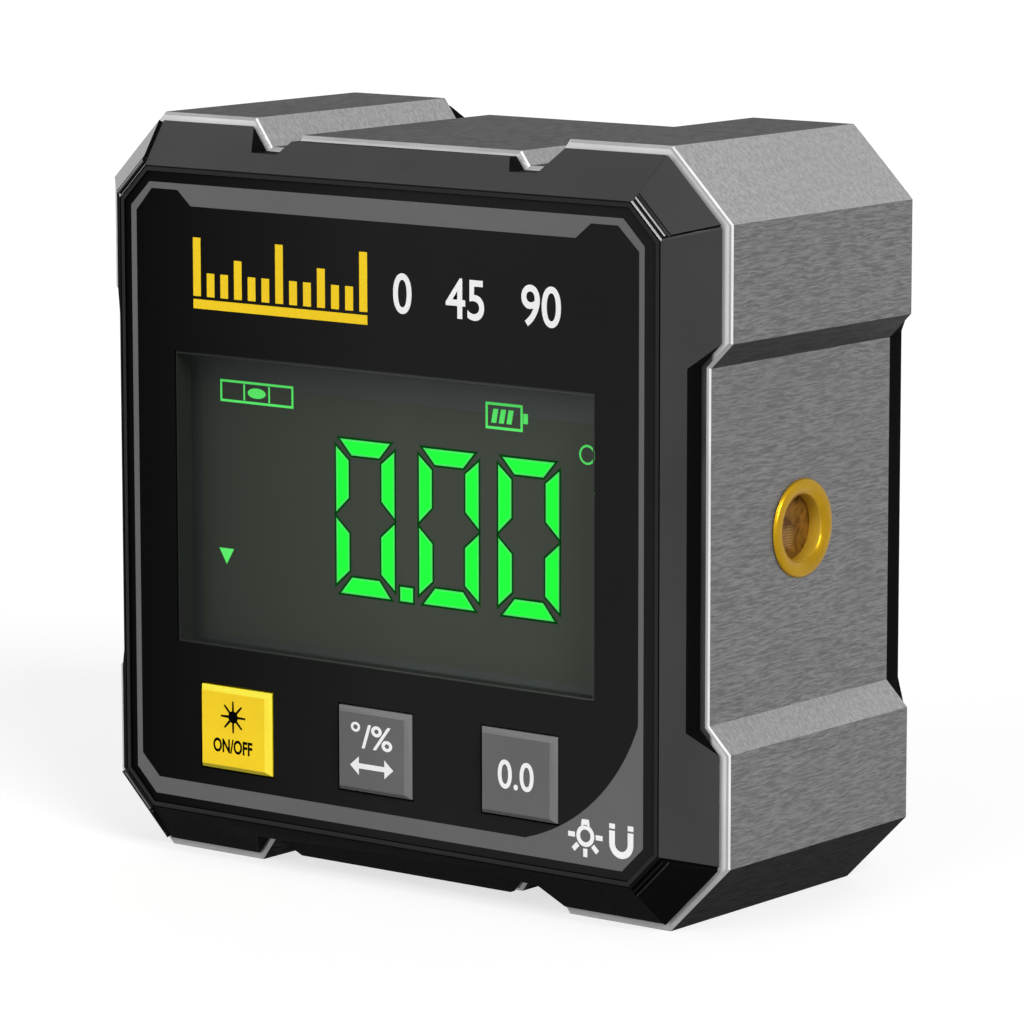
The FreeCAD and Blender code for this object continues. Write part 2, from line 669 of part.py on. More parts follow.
def laser_mount():
    """Block around the barrel, with a flange against the inside of the frame."""
    wall = CAVITY_HALF_WIDTH
    block = box(18.0, wall - 1.6, Y_LASER - 3.8, Y_LASER + 3.45, LASER_Z - 4.0, LASER_Z + 4.0)
    along = [e for e in block.Edges if abs(e.tangentAt(e.FirstParameter).x) > 0.99]
    block = block.makeChamfer(0.8, along)
    flange = box(wall - 1.6, wall, Y_LASER - 2.6, Y_LASER + 2.6, LASER_Z - 8.2, LASER_Z + 8.2)
    bore = cylinder_x(BARREL_RADIUS + 0.02, Y_LASER, LASER_Z, 17, wall + 1)
    holes = [cylinder_x(0.9, Y_LASER, z, wall - 3, wall + 1) for z in laser_mount_screw_heights()]
    return joined(block, flange).cut([bore] + holes)


def laser_mount_screws():
    seat = CAVITY_HALF_WIDTH - 1.6
    screws = []
    for z in laser_mount_screw_heights():
        head = cylinder_x(1.45, Y_LASER, z, seat - 1.0, seat)
        shank = cylinder_x(0.8, Y_LASER, z, seat - 0.5, CAVITY_HALF_WIDTH + 1.5)
        slot = box(seat - 1.1, seat - 0.5, Y_LASER - 0.25, Y_LASER + 0.25, z - 2, z + 2)
        screws.append(joined(head, shank).cut(slot))
    return Part.makeCompound(screws)


def lead(points, radius, bend):
    """Insulated lead along straight runs joined by tangent arcs."""
    stops = [Vector(*p) for p in points]
    edges = []
    start = stops[0]
    for before, corner, after in zip(stops, stops[1:], stops[2:]):
        back = (before - corner).normalize()
        ahead = (after - corner).normalize()
        half_turn = (math.pi - back.getAngle(ahead)) / 2
        cut = bend * math.tan(half_turn)
        first = corner + back * cut
        last = corner + ahead * cut
        inward = (back + ahead).normalize()
        middle = corner + inward * (bend / math.cos(half_turn) - bend)
        edges.append(Part.LineSegment(start, first).toShape())
        edges.append(Part.Arc(first, middle, last).toShape())
        start = last
    edges.append(Part.LineSegment(start, stops[-1]).toShape())
    direction = (stops[1] - stops[0]).normalize()
    profile = Part.Wire(Part.makeCircle(radius, stops[0], direction))
    return Part.Wire(edges).makePipeShell([profile], True, True)


def laser_leads():
    back = barrel_front() - BARREL_LENGTH + 2.4 - 9.0
    leads = []
    for z in (LASER_Z - 1.1, LASER_Z + 1.1):
        leads.append(lead([(back, Y_LASER, z), (back - 4.2, Y_LASER, z), (back - 4.2, Y_BOARD_BACK, z)], 0.4, 2.0))
    return Part.makeCompound(leads)


def cell_heights():
    return (MID_Z - CELL_PITCH / 2, MID_Z + CELL_PITCH / 2)


def tray_low():
    return cell_heights()[0] - CELL_RADIUS - 0.15


def tray_high():
    return cell_heights()[1] + CELL_RADIUS + 0.15


def contact_slot(z, extra):
    x0 = -TRAY_HALF_LENGTH
    return box(x0 - extra, x0 + CONTACT_THICKNESS + extra, Y_TRAY - 0.9, Y_TRAY + TRAY_WALL + 1.5,
               z - 1.2 - extra, z + 1.2 + extra)


def door_outline(gap):
    """Outline of the battery door, with a screw tab in the middle of its top and bottom edges."""
    low = tray_low() - DOOR_MARGIN + gap
    right = DOOR_HALF_WIDTH - gap
    tab = DOOR_TAB_HALF - gap
    lower = [
        (tab, low - DOOR_TAB_REACH),
        (tab, low),
        (right - 1.0, low),
        (right, low + 1.0),
    ]
    return mirrored_outline(lower + [(x, HEIGHT - z) for x, z in reversed(lower)])


def door_screw_heights():
    return (tray_low() - DOOR_MARGIN - DOOR_SCREW_OFFSET, tray_high() + DOOR_MARGIN + DOOR_SCREW_OFFSET)


def rear_cover():
    cover = cover_shell(Y_BACK, Y_REAR)
    cover = joined(cover, lip(Y_BACK - LIP_LENGTH, Y_BACK + SHADOW_GAP))
    cover = cover.cut(cavity(LIP_CLEARANCE + LIP_THICKNESS, Y_BACK - LIP_LENGTH - 1, Y_REAR_WALL))
    end = TRAY_HALF_LENGTH + TRAY_WALL
    y_wall = Y_REAR_WALL + 0.5
    tray = box(-end, end, Y_TRAY, y_wall, tray_low() - TRAY_WALL, tray_high() + TRAY_WALL)
    room = box(-TRAY_HALF_LENGTH, TRAY_HALF_LENGTH, Y_TRAY + TRAY_WALL, Y_REAR + 1, tray_low(), tray_high())
    tray = tray.cut(room)
    divider = Part.Face(Part.makePolygon([
        Vector(-15, Y_TRAY + 0.4, MID_Z - 1.4), Vector(-15, Y_TRAY + 0.4, MID_Z + 1.4),
        Vector(-15, Y_TRAY + 3.0, MID_Z), Vector(-15, Y_TRAY + 0.4, MID_Z - 1.4)])).extrude(Vector(30, 0, 0))
    added = [tray, divider]
    for x, z in housing_screw_spots():
        added.append(cylinder_y(HOUSING_BOSS_RADIUS, x, z, Y_FRONT + HOUSING_BOSS_MEETING + 0.1, y_wall))
    for z in door_screw_heights():
        added.append(cylinder_y(2.3, 0, z, Y_REAR_WALL - 5.5, y_wall))
    cover = cover.cut(room)
    cover = joined(cover, *added)
    holes = [prism(door_outline(0), Y_REAR - DOOR_THICKNESS - 0.05, Y_REAR + 1)]
    for x, z in housing_screw_spots():
        holes.append(cylinder_y(HOUSING_SCREW_RADIUS + 0.15, x, z, Y_FRONT, Y_REAR))
        holes.append(cylinder_y(HOUSING_HEAD_RADIUS + 0.2, x, z, Y_REAR - HOUSING_HEAD_HEIGHT - 0.1, Y_REAR + 1))
    for z in door_screw_heights():
        holes.append(cylinder_y(DOOR_SCREW_RADIUS + 0.05, 0, z, Y_REAR - DOOR_SCREW_LENGTH - 1, Y_REAR))
    holes += [contact_slot(z, 0.1) for z in cell_heights()]
    return cover.cut(holes)


def battery_door():
    """Flat door with locating ribs, countersunk screw holes and a shallow bare panel outside."""
    inner = Y_REAR - DOOR_THICKNESS
    plate = prism(door_outline(DOOR_GAP), inner, Y_REAR)
    ribs = []
    for z in (tray_low() + 0.2, tray_high() - 1.0):
        for x in (-18, 10):
            ribs.append(box(x, x + 8, inner - 0.5, inner + 0.2, z, z + 0.8))
    door = joined(plate, *ribs)
    panel = rounded_box(-19, 19, Y_REAR - 0.25, Y_REAR + 1, MID_Z - 7.5, MID_Z + 7.5, 1.5)
    holes = [panel]
    for z in door_screw_heights():
        holes.append(cylinder_y(DOOR_SCREW_RADIUS + 0.15, 0, z, inner - 1, Y_REAR + 1))
        holes.append(countersink(z, 0.03))
    return door.cut(holes)


def countersink(z, extra):
    depth = DOOR_SCREW_HEAD_RADIUS - DOOR_SCREW_RADIUS
    return Part.makeCone(DOOR_SCREW_RADIUS + extra, DOOR_SCREW_HEAD_RADIUS + extra, depth,
                         Vector(0, Y_REAR - depth, z), ALONG_Y)


def battery_door_screws():
    screws = []
    for z in door_screw_heights():
        shank = cylinder_y(DOOR_SCREW_RADIUS, 0, z, Y_REAR - DOOR_SCREW_LENGTH, Y_REAR - 0.5)
        slot = box(-0.22, 0.22, Y_REAR - 0.45, Y_REAR + 1, z - 1.3, z + 1.3)
        cross = box(-1.3, 1.3, Y_REAR - 0.45, Y_REAR + 1, z - 0.22, z + 0.22)
        screws.append(joined(shank, countersink(z, 0)).cut([slot, cross]))
    return Part.makeCompound(screws)


def cell(z, nub_side):
    """AAA cell along X, with its raised positive end on the given side."""
    nub_tip = nub_side * (TRAY_HALF_LENGTH - CONTACT_THICKNESS - FIT)
    shoulder = nub_tip - nub_side * CELL_NUB_LENGTH
    foot = nub_tip - nub_side * CELL_LENGTH
    body = cylinder_x(CELL_RADIUS, Y_CELL, z, *sorted((shoulder, foot)))
    rims = [e for e in body.Edges if e.Closed and e.Length > 30]
    body = body.makeFillet(0.4, rims)
    nub = cylinder_x(CELL_NUB_RADIUS, Y_CELL, z, *sorted((shoulder - nub_side * 0.5, nub_tip)))
    return joined(body, nub)


def contact_plate(z0, z1, side):
    outer = side * TRAY_HALF_LENGTH
    x0, x1 = sorted((outer, outer - side * CONTACT_THICKNESS))
    return box(x0, x1, Y_CELL - 4.2, Y_CELL + 4.2, z0, z1)


def lead_contact(z):
    """Contact at the left end of the tray, with its solder tab through the tray's front wall."""
    return joined(contact_plate(z - 4.3, z + 4.3, -1), contact_slot(z, 0))


def link_contact():
    low, high = cell_heights()
    return contact_plate(low - 4.3, high + 4.3, 1)


def spring(z, side):
    """Conical coil of half-circles between the contact plate and the flat end of a cell."""
    room = 2 * TRAY_HALF_LENGTH - 2 * CONTACT_THICKNESS - FIT - CELL_LENGTH
    height = room - 2 * SPRING_WIRE - 0.04
    halves = 2 * SPRING_TURNS
    stops = []
    for i in range(halves + 1):
        radius = SPRING_TIP_RADIUS + (SPRING_RADIUS - SPRING_TIP_RADIUS) * i / halves
        stops.append(Vector(radius * (-1) ** i, 0, height * i / halves))
    half_turns = []
    for i, (start, end) in enumerate(zip(stops, stops[1:])):
        section = Part.Face(Part.Wire(Part.makeCircle(SPRING_WIRE, start, ALONG_Y)))
        axis = ALONG_Y.cross(end - start) * (-1) ** i
        half_turns.append(section.revolve((start + end) * 0.5, axis, 180))
    coil = joined(*half_turns)
    coil.rotate(Vector(0, 0, 0), ALONG_Y, 90 * side)
    outer = side * (TRAY_HALF_LENGTH - CONTACT_THICKNESS - SPRING_WIRE - 0.02)
    coil.translate(Vector(outer - side * height, Y_CELL, z))
    return coil


def battery_springs():
    low, high = cell_heights()
    return Part.makeCompound([spring(low, -1), spring(high, 1)])


def battery_lead(z):
    x = -TRAY_HALF_LENGTH + CONTACT_THICKNESS + 0.5
    return lead([(x, Y_TRAY - 0.1, z), (x, Y_BOARD_BACK + 3.6, z), (x + 4.0, Y_BOARD_BACK + 3.6, z),
                 (x + 4.0, Y_BOARD_BACK, z)], 0.5, 1.5)


def magnet_spots():
    return [(x, Y_LASER + y) for x in (-MAGNET_X, MAGNET_X) for y in (-MAGNET_SPREAD / 2, MAGNET_SPREAD / 2)]


def base_magnets():
    return Part.makeCompound([Part.makeCylinder(MAGNET_RADIUS, MAGNET_THICKNESS, Vector(x, y, MAGNET_SINK))
                              for x, y in magnet_spots()])


def housing_screws():
    seat = Y_REAR - HOUSING_HEAD_HEIGHT - 0.1
    return Part.makeCompound([screw(HOUSING_SCREW_RADIUS, 22.5, HOUSING_HEAD_RADIUS, HOUSING_HEAD_HEIGHT,
                                    x, seat, z, -1) for x, z in housing_screw_spots()])


def all_nodes():
    low, high = cell_heights()
    nodes = {
        "aluminium_frame": aluminium_frame(),
        "front_cover": front_cover(),
        "front_label": front_label(),
        "display_window": display_window(),
        "lcd_panel": lcd_panel(),
        "backlight_panel": backlight_panel(),
        "backlight_leds": backlight_leds(),
        "display_frame": display_frame(),
        "contact_strip": contact_strip(),
        "main_board": main_board(),
        "board_screws": board_screws(),
        "microcontroller": microcontroller(),
        "tilt_sensor": tilt_sensor(),
        "crystal": crystal(),
        "board_components": board_components(),
        "laser_bezel": laser_bezel(),
        "laser_window": laser_window(),
        "laser_barrel": laser_barrel(),
        "laser_lens": laser_lens(),
        "laser_diode": laser_diode(),
        "laser_driver": laser_driver(),
        "laser_mount": laser_mount(),
        "laser_mount_screws": laser_mount_screws(),
        "laser_leads": laser_leads(),
        "rear_cover": rear_cover(),
        "battery_door": battery_door(),
        "battery_door_screws": battery_door_screws(),
        "lower_cell": cell(low, 1),
        "upper_cell": cell(high, -1),
        "negative_contact": lead_contact(low),
        "positive_contact": lead_contact(high),
        "link_contact": link_contact(),
        "battery_springs": battery_springs(),
        "black_lead": battery_lead(low),
        "red_lead": battery_lead(high),
        "base_magnets": base_magnets(),
        "housing_screws": housing_screws(),
    }
    for name, x in key_centres().items():
        nodes[name + "_key"] = key(x)
        nodes[name + "_plunger"] = plunger(x)
        nodes[name + "_switch"] = switch(x)
    return nodes


def main():
    os.makedirs("parts", exist_ok=True)
    for name, shape in all_nodes().items():
        state = "valid" if shape.isValid() else "NOT VALID"
        print(f"{name:22s} {len(shape.Solids):3d} solids {shape.Volume:10.2f} mm3 {state}")
        shape.exportStep(f"parts/{name}.step")


main()
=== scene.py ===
"""Looks of the digital level box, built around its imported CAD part.

Metres, in the part's frame: +X to the right of the display, +Y away from it, +Z up.
Prints are drawn in mm, as outlines of (x, z) points seen from the front.
"""

import math

import bmesh
import bpy
from mathutils import Matrix, Vector


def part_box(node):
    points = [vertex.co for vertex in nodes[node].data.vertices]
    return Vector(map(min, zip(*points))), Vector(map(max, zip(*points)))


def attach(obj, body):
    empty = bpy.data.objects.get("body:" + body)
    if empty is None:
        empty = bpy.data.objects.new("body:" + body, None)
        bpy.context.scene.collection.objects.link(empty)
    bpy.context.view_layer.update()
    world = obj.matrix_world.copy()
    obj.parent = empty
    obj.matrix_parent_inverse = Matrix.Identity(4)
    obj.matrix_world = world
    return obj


MM = 0.001
MICRON = 0.000001

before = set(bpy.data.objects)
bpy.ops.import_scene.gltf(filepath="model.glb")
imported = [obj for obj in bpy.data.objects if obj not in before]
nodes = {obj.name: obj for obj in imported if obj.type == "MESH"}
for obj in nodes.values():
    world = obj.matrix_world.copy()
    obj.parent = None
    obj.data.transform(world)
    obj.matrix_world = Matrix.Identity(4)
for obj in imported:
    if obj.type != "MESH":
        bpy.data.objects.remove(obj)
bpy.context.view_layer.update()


def box_mm(name):
    """Lowest and highest corner of a CAD node, in mm."""
    return [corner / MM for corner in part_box(name)]


# ---------------------------------------------------------------- places in the part, in mm
ring_low, ring_high = box_mm("aluminium_frame")
RING_MIDDLE = (ring_low + ring_high) / 2
RING_HALF = (ring_high - ring_low) / 2
bezel_low, bezel_high = box_mm("laser_bezel")
window_low, window_high = box_mm("display_window")
Y_COVER = box_mm("front_cover")[0].y
Y_LABEL = box_mm("front_label")[0].y
Y_LCD = box_mm("lcd_panel")[0].y
Y_KEYS = box_mm("laser_key")[0].y
PRINT_THICKNESS = 0.01          # ink on film, glass or plastic


# ---------------------------------------------------------------- colours and nodes
# Ranges that most values of a noise lie in. A tone or a roughness is spread over one of them.
NARROW = (0.4, 0.6)
MIDDLE = (0.35, 0.65)
WIDE = (0.3, 0.7)
UPPER = (0.35, 0.7)
TOP = (0.4, 0.8)

CONVEX = (0.52, 0.6)            # Pointiness where an edge starts to show wear and a painted highlight, and where they are full


def srgb(code):
    """Linear RGBA of a colour written as six hex digits."""
    channels = [int(code[i:i + 2], 16) / 255 for i in (0, 2, 4)]
    return [c / 12.92 if c <= 0.04045 else ((c + 0.055) / 1.055) ** 2.4 for c in channels] + [1.0]


def tinted(tone, share):
    """A colour made darker or lighter, with no channel above 1."""
    return [min(1.0, c * share) for c in tone[:3]] + [1.0]


class Nodes:
    """Short calls for the nodes of a material or a world."""

    def __init__(self, tree):
        self.tree = tree

    def feed(self, socket, value):
        """Gives a socket a number, a colour or another node's output."""
        if isinstance(value, bpy.types.NodeSocket):
            self.tree.links.new(value, socket)
        else:
            socket.default_value = value

    def node(self, kind, inputs=(), **settings):
        made = self.tree.nodes.new(kind)
        for key, value in settings.items():
            setattr(made, key, value)
        for key, value in dict(inputs).items():
            self.feed(made.inputs[key], value)
        return made

    def spread(self, value, low, high, from_low=0.0, from_high=1.0):
        """low to high, as value goes from from_low to from_high."""
        return self.node("ShaderNodeMapRange", {
            "Value": value, "From Min": from_low, "From Max": from_high,
            "To Min": low, "To Max": high}).outputs["Result"]

    def math(self, operation, a, b=0.0):
        return self.node("ShaderNodeMath", {0: a, 1: b}, operation=operation).outputs[0]

    def times(self, a, b):
        return self.math("MULTIPLY", a, b)

    def weighed(self, a, share, b):
        """Sum of two values, with share of the first and the rest of the second."""
        return self.math("ADD", self.times(a, share), self.times(b, 1 - share))

    def seen(self):
        """1 for rays from the camera, also by way of gloss or glass, and 0 for light on the object."""
        path = self.node("ShaderNodeLightPath").outputs
        direct_or_gloss = self.math("MAXIMUM", path["Is Camera Ray"], path["Is Glossy Ray"])
        return self.math("MAXIMUM", direct_or_gloss, path["Is Transmission Ray"])


class Look(Nodes):
    """A Principled material, and the nodes that vary it over a surface."""

    def __init__(self, name, **values):
        self.material = bpy.data.materials.new(name)
        self.material.use_nodes = True
        super().__init__(self.material.node_tree)
        self.shader = self.tree.nodes["Principled BSDF"]
        self.place = self.node("ShaderNodeTexCoord").outputs["Object"]
        for key, value in values.items():
            self.shader.inputs[key.replace("_", " ")].default_value = value

    def drive(self, socket, value):
        self.tree.links.new(value, self.shader.inputs[socket])

    def show(self, shader):
        """Shows another shader in place of the Principled one."""
        self.tree.links.new(shader, self.tree.nodes["Material Output"].inputs["Surface"])

    def along(self, axis):
        """Distance in metres along an axis of the part."""
        return self.node("ShaderNodeSeparateXYZ", {"Vector": self.place}).outputs[axis]

    def off(self, axis, middle):
        """Distance in mm from a middle (mm) along an axis."""
        place = self.math("DIVIDE", self.along(axis), MM)
        return self.math("ABSOLUTE", self.math("SUBTRACT", place, middle))

    def noise(self, scale, detail=3.0, rough=0.55, place=None, distortion=0.0):
        """Noise in the part's own space; scale is per metre, one number or one for each of x, y and z."""
        scales = scale if isinstance(scale, tuple) else (scale,) * 3
        mapped = self.node("ShaderNodeMapping", {"Vector": place or self.place, "Scale": scales})
        return self.node("ShaderNodeTexNoise", {
            "Vector": mapped.outputs["Vector"], "Scale": 1.0, "Detail": detail,
            "Roughness": rough, "Distortion": distortion}).outputs["Fac"]

    def blend(self, factor, a, b):
        """Colour a where factor is 0, and b where it is 1."""
        mixed = self.node("ShaderNodeMix", {"Factor": factor}, data_type="RGBA")
        self.feed(mixed.inputs[6], a)
        self.feed(mixed.inputs[7], b)
        return mixed.outputs[2]

    def mottled(self, noise, dark, light, reach=MIDDLE):
        return self.blend(self.spread(noise, 0.0, 1.0, *reach), dark, light)

    def bump(self, height, distance):
        return self.node("ShaderNodeBump", {
            "Height": height, "Distance": distance, "Strength": 1.0}).outputs["Normal"]

    def convex_edges(self):
        """1 along convex edges and 0 on flats."""
        point = self.node("ShaderNodeNewGeometry").outputs["Pointiness"]
        return self.spread(point, 0.0, 1.0, *CONVEX)


# ---------------------------------------------------------------- kinds of finish
# Noise scales are per metre: 6200 has grains of 0.16 mm, and 90 has clouds of 11 mm.
def brushed_aluminium(name, tone, stroke, sway, contrast, rough=0.42, metallic=0.45, specular=0.5,
                      grazing=1.0):
    """Aluminium with short strokes; stroke is their noise scale, and sway in metres bends them."""
    look = Look(name, Metallic=metallic, Specular_IOR_Level=specular,
                Specular_Tint=(grazing, grazing, grazing, 1.0))
    tone = srgb(tone)
    bend = look.noise(260, 2.0)
    shift = look.node("ShaderNodeVectorMath", {0: sway, 3: bend}, operation="SCALE").outputs[0]
    swayed = look.node("ShaderNodeVectorMath", {0: look.place, 1: shift}, operation="ADD").outputs[0]
    grain = look.noise(stroke, 2.0, 0.5, place=swayed)
    fine = look.noise(tuple(s * 2.1 for s in stroke), 1.0, 0.5, place=swayed)
    cloud = look.noise(90)
    both = look.weighed(grain, 0.65, fine)
    base = look.mottled(both, tinted(tone, 1 - contrast), tinted(tone, 1 + contrast), NARROW)
    look.drive("Base Color", look.blend(look.spread(cloud, 0.0, 0.3, *UPPER), base, tinted(tone, 0.85)))
    look.drive("Roughness", look.spread(both, rough + 0.1, rough - 0.08, *WIDE))
    look.drive("Normal", look.bump(both, 50 * MICRON * contrast))
    return look.material


def moulded_plastic(name, tone, rough, grain, specular, scale=3800, wear_and_sheen=0.35):
    """Moulded plastic with fine grain and faint mottling; its edges are lightened and polished, partly as
    wear and partly as a painted highlight.
    """
    look = Look(name, Specular_IOR_Level=specular)
    tone = srgb(tone)
    texture = look.noise(scale, 3.0, 0.6)
    base = look.mottled(look.noise(70, 4.0), tinted(tone, 0.88), tinted(tone, 1.1))
    smooth = look.spread(texture, rough - 0.06, rough + 0.08, *WIDE)
    if wear_and_sheen:
        edge = look.convex_edges()
        base = look.blend(look.times(edge, wear_and_sheen), base, tinted(tone, 1.7))
        smooth = look.math("SUBTRACT", smooth, look.times(edge, 0.15))
    look.drive("Base Color", base)
    look.drive("Roughness", smooth)
    look.drive("Normal", look.bump(texture, grain))
    return look.material


def plated_metal(name, tone, rough, metallic=1.0):
    """Plated or turned metal with fine spots in its gloss."""
    look = Look(name, Metallic=metallic)
    tone = srgb(tone)
    spots = look.noise(900, 4.0, 0.6)
    look.drive("Base Color", look.mottled(look.noise(160), tinted(tone, 0.86), tinted(tone, 1.1)))
    look.drive("Roughness", look.spread(spots, rough - 0.05, rough + 0.12, *WIDE))
    look.drive("Normal", look.bump(spots, 8 * MICRON))
    return look.material


def end_metal(name, tone, other_tone, rough, metallic, share):
    """Metal of the ring's ends; share gets the look and gives how much of the other tone shows. The two tones
    are painted light and shade: a highlight on the chamfers and shade on the sawn face.
    """
    look = Look(name, Metallic=metallic)
    mixed = look.blend(share(look), srgb(tone), srgb(other_tone))
    spots = look.noise(2600)
    stain = look.spread(look.noise(110), 0.0, 0.3, *UPPER)
    look.drive("Base Color", look.blend(stain, mixed, (0.25, 0.25, 0.25, 1.0)))
    look.drive("Roughness", look.spread(spots, rough - 0.05, rough + 0.1, *WIDE))
    look.drive("Normal", look.bump(spots, 4 * MICRON))
    return look.material


HIGHLIGHT_START = (0.15, 0.11)     # mm from the ring's end, where the painted highlight on its chamfer begins


def beside_sawn_face(look):
    """1 on the half of the end chamfer that meets the sawn face, and 0 on the half with the painted
    highlight.
    """
    inner, outer = (RING_HALF.y - depth for depth in HIGHLIGHT_START)
    return look.spread(look.off("Y", RING_MIDDLE.y), 0.0, 1.0, inner, outer)


# Where the painted shade on the sawn face fades out: off the middle in mm, and above the base.
SHADE_ACROSS = (29.2, 29.5)
SHADE_UP = (25.0, 25.4)
SHADE_BASE = (4 * MM, 6 * MM)


def recess_shade(look):
    """Painted shade on the sawn face: 1 inside the side recesses, 0 beside the measuring faces, a half at the
    base.
    """
    sides = look.spread(look.off("X", RING_MIDDLE.x), 1.0, 0.0, *SHADE_ACROSS)
    ends = look.spread(look.off("Z", RING_MIDDLE.z), 1.0, 0.0, *SHADE_UP)
    base = look.spread(look.along("Z"), 0.5, 0.0, *SHADE_BASE)
    return look.math("MAXIMUM", look.times(sides, ends), base)


SHADE_DARKEST_X = -26 * MM        # the label's left end, where the painted shade is darkest
SHADE_FREE_X = 0.0


def print_ink(name, tone, rough=0.5, specular=0.25, glow=0.0, grainy=1.0, left=1.0):
    """Screen-printed ink: a faint pinhole grain in colour and gloss; left is its share of tone at the left
    end, a painted shade that darkens it towards the left.
    """
    look = Look(name, Specular_IOR_Level=specular)
    tone = srgb(tone)
    grain = look.noise(5200, 2.0)
    both = look.weighed(grain, 0.4, look.noise(60))
    base = look.mottled(both, tinted(tone, 1 - 0.08 * grainy), tinted(tone, 1 + 0.08 * grainy))
    if left < 1:
        across = look.spread(look.along("X"), 0.0, 1.0, SHADE_DARKEST_X, SHADE_FREE_X)
        base = look.blend(across, tinted(tone, left), base)
    look.drive("Base Color", base)
    look.drive("Roughness", look.spread(grain, rough - 0.05, rough + 0.07, *WIDE))
    look.drive("Normal", look.bump(grain, 3 * MICRON * grainy))
    if glow:
        look.drive("Emission Color", base)
        look.shader.inputs["Emission Strength"].default_value = glow
    return look.material


def clear_sheet(name, tone, rough):
    """Thin clear sheet: mostly straight through, with a faint mirror that grows at grazing angles."""
    look = Look(name)
    smudge = look.noise(140, 5.0, 0.6)
    clear = look.node("ShaderNodeBsdfTransparent", {"Color": tone})
    gloss = look.node("ShaderNodeBsdfGlossy", {
        "Color": (0.9, 0.92, 0.95, 1.0), "Roughness": look.spread(smudge, rough, rough + 0.06, *UPPER)})
    facing = look.node("ShaderNodeLayerWeight").outputs["Facing"]
    mirror = look.math("POWER", look.spread(facing, 0.0, 0.7, 0.45, 1.0), 2.5)
    outside = look.math("SUBTRACT", 1.0, look.node("ShaderNodeNewGeometry").outputs["Backfacing"])
    look.show(look.node("ShaderNodeMixShader", {
        0: look.times(mirror, outside), 1: clear.outputs[0], 2: gloss.outputs[0]}).outputs[0])
    return look.material


RIBS_Z = (RING_MIDDLE.z - 0.85) * MM        # middle of the ribs, just below the laser's axis
RIBS_HALF = (0.6 * MM, 1.0 * MM)            # how far up and down they are full, and reach
RIBS_FADE = (-0.2 * MM, 0.4 * MM)           # where they fade out, from front to rear


def ribbed_amber(name, dark, pale, ribs):
    """Amber plastic deep in the laser ring: mottled, with the ribs of the barrel's mouth on one side."""
    look = Look(name, Roughness=0.35, Specular_IOR_Level=0.1)
    patches = look.noise(800, 3.0, 0.6, distortion=0.8)
    stripes = look.node("ShaderNodeTexWave", {"Vector": look.place, "Scale": 1500.0, "Distortion": 1.5},
                        bands_direction="Z").outputs["Fac"]
    height = look.math("ABSOLUTE", look.math("SUBTRACT", look.along("Z"), RIBS_Z))
    here = look.times(look.spread(look.along("Y"), 1.0, 0.0, *RIBS_FADE),
                      look.spread(height, 1.0, 0.0, *RIBS_HALF))
    base = look.mottled(patches, srgb(dark), srgb(pale))
    look.drive("Base Color", look.blend(look.times(look.times(stripes, here), 0.7), base, srgb(ribs)))
    look.drive("Normal", look.bump(patches, 10 * MICRON))
    return look.material


GLINT_DEPTH = (0.11, 0.14)      # mm behind the cover's front, where the painted highlight line ends


def glint_line(name, bright, specular):
    """Corner edges of the cover: a painted highlight along the front, and painted shade in black behind it.
    """
    look = Look(name, Specular_IOR_Level=specular)
    bright = srgb(bright)
    start, end = ((Y_COVER + depth) * MM for depth in GLINT_DEPTH)
    wear_and_sheen = look.noise(900)
    glint_tone = look.blend(look.spread(wear_and_sheen, 0.0, 0.3, *TOP), bright, tinted(bright, 0.6))
    behind = look.spread(look.along("Y"), 0.0, 1.0, start, end)
    look.drive("Base Color", look.blend(behind, glint_tone, srgb("080808")))
    look.drive("Roughness", look.spread(wear_and_sheen, 0.3, 0.45))
    return look.material


# ---------------------------------------------------------------- materials
ALONG_DEPTH = ((6200, 520, 6200), (600 * MICRON, 0.0, 600 * MICRON))     # brushing of the side and top
DOWN_SLOPE = ((2500, 4600, 2500), (200 * MICRON, 600 * MICRON, 200 * MICRON))     # and of the slopes
SMOOTH = 4 * MICRON             # depths of moulded grain
SATIN = 6 * MICRON
GRAINED = 10 * MICRON
COARSE = 20 * MICRON
COARSEST = 30 * MICRON

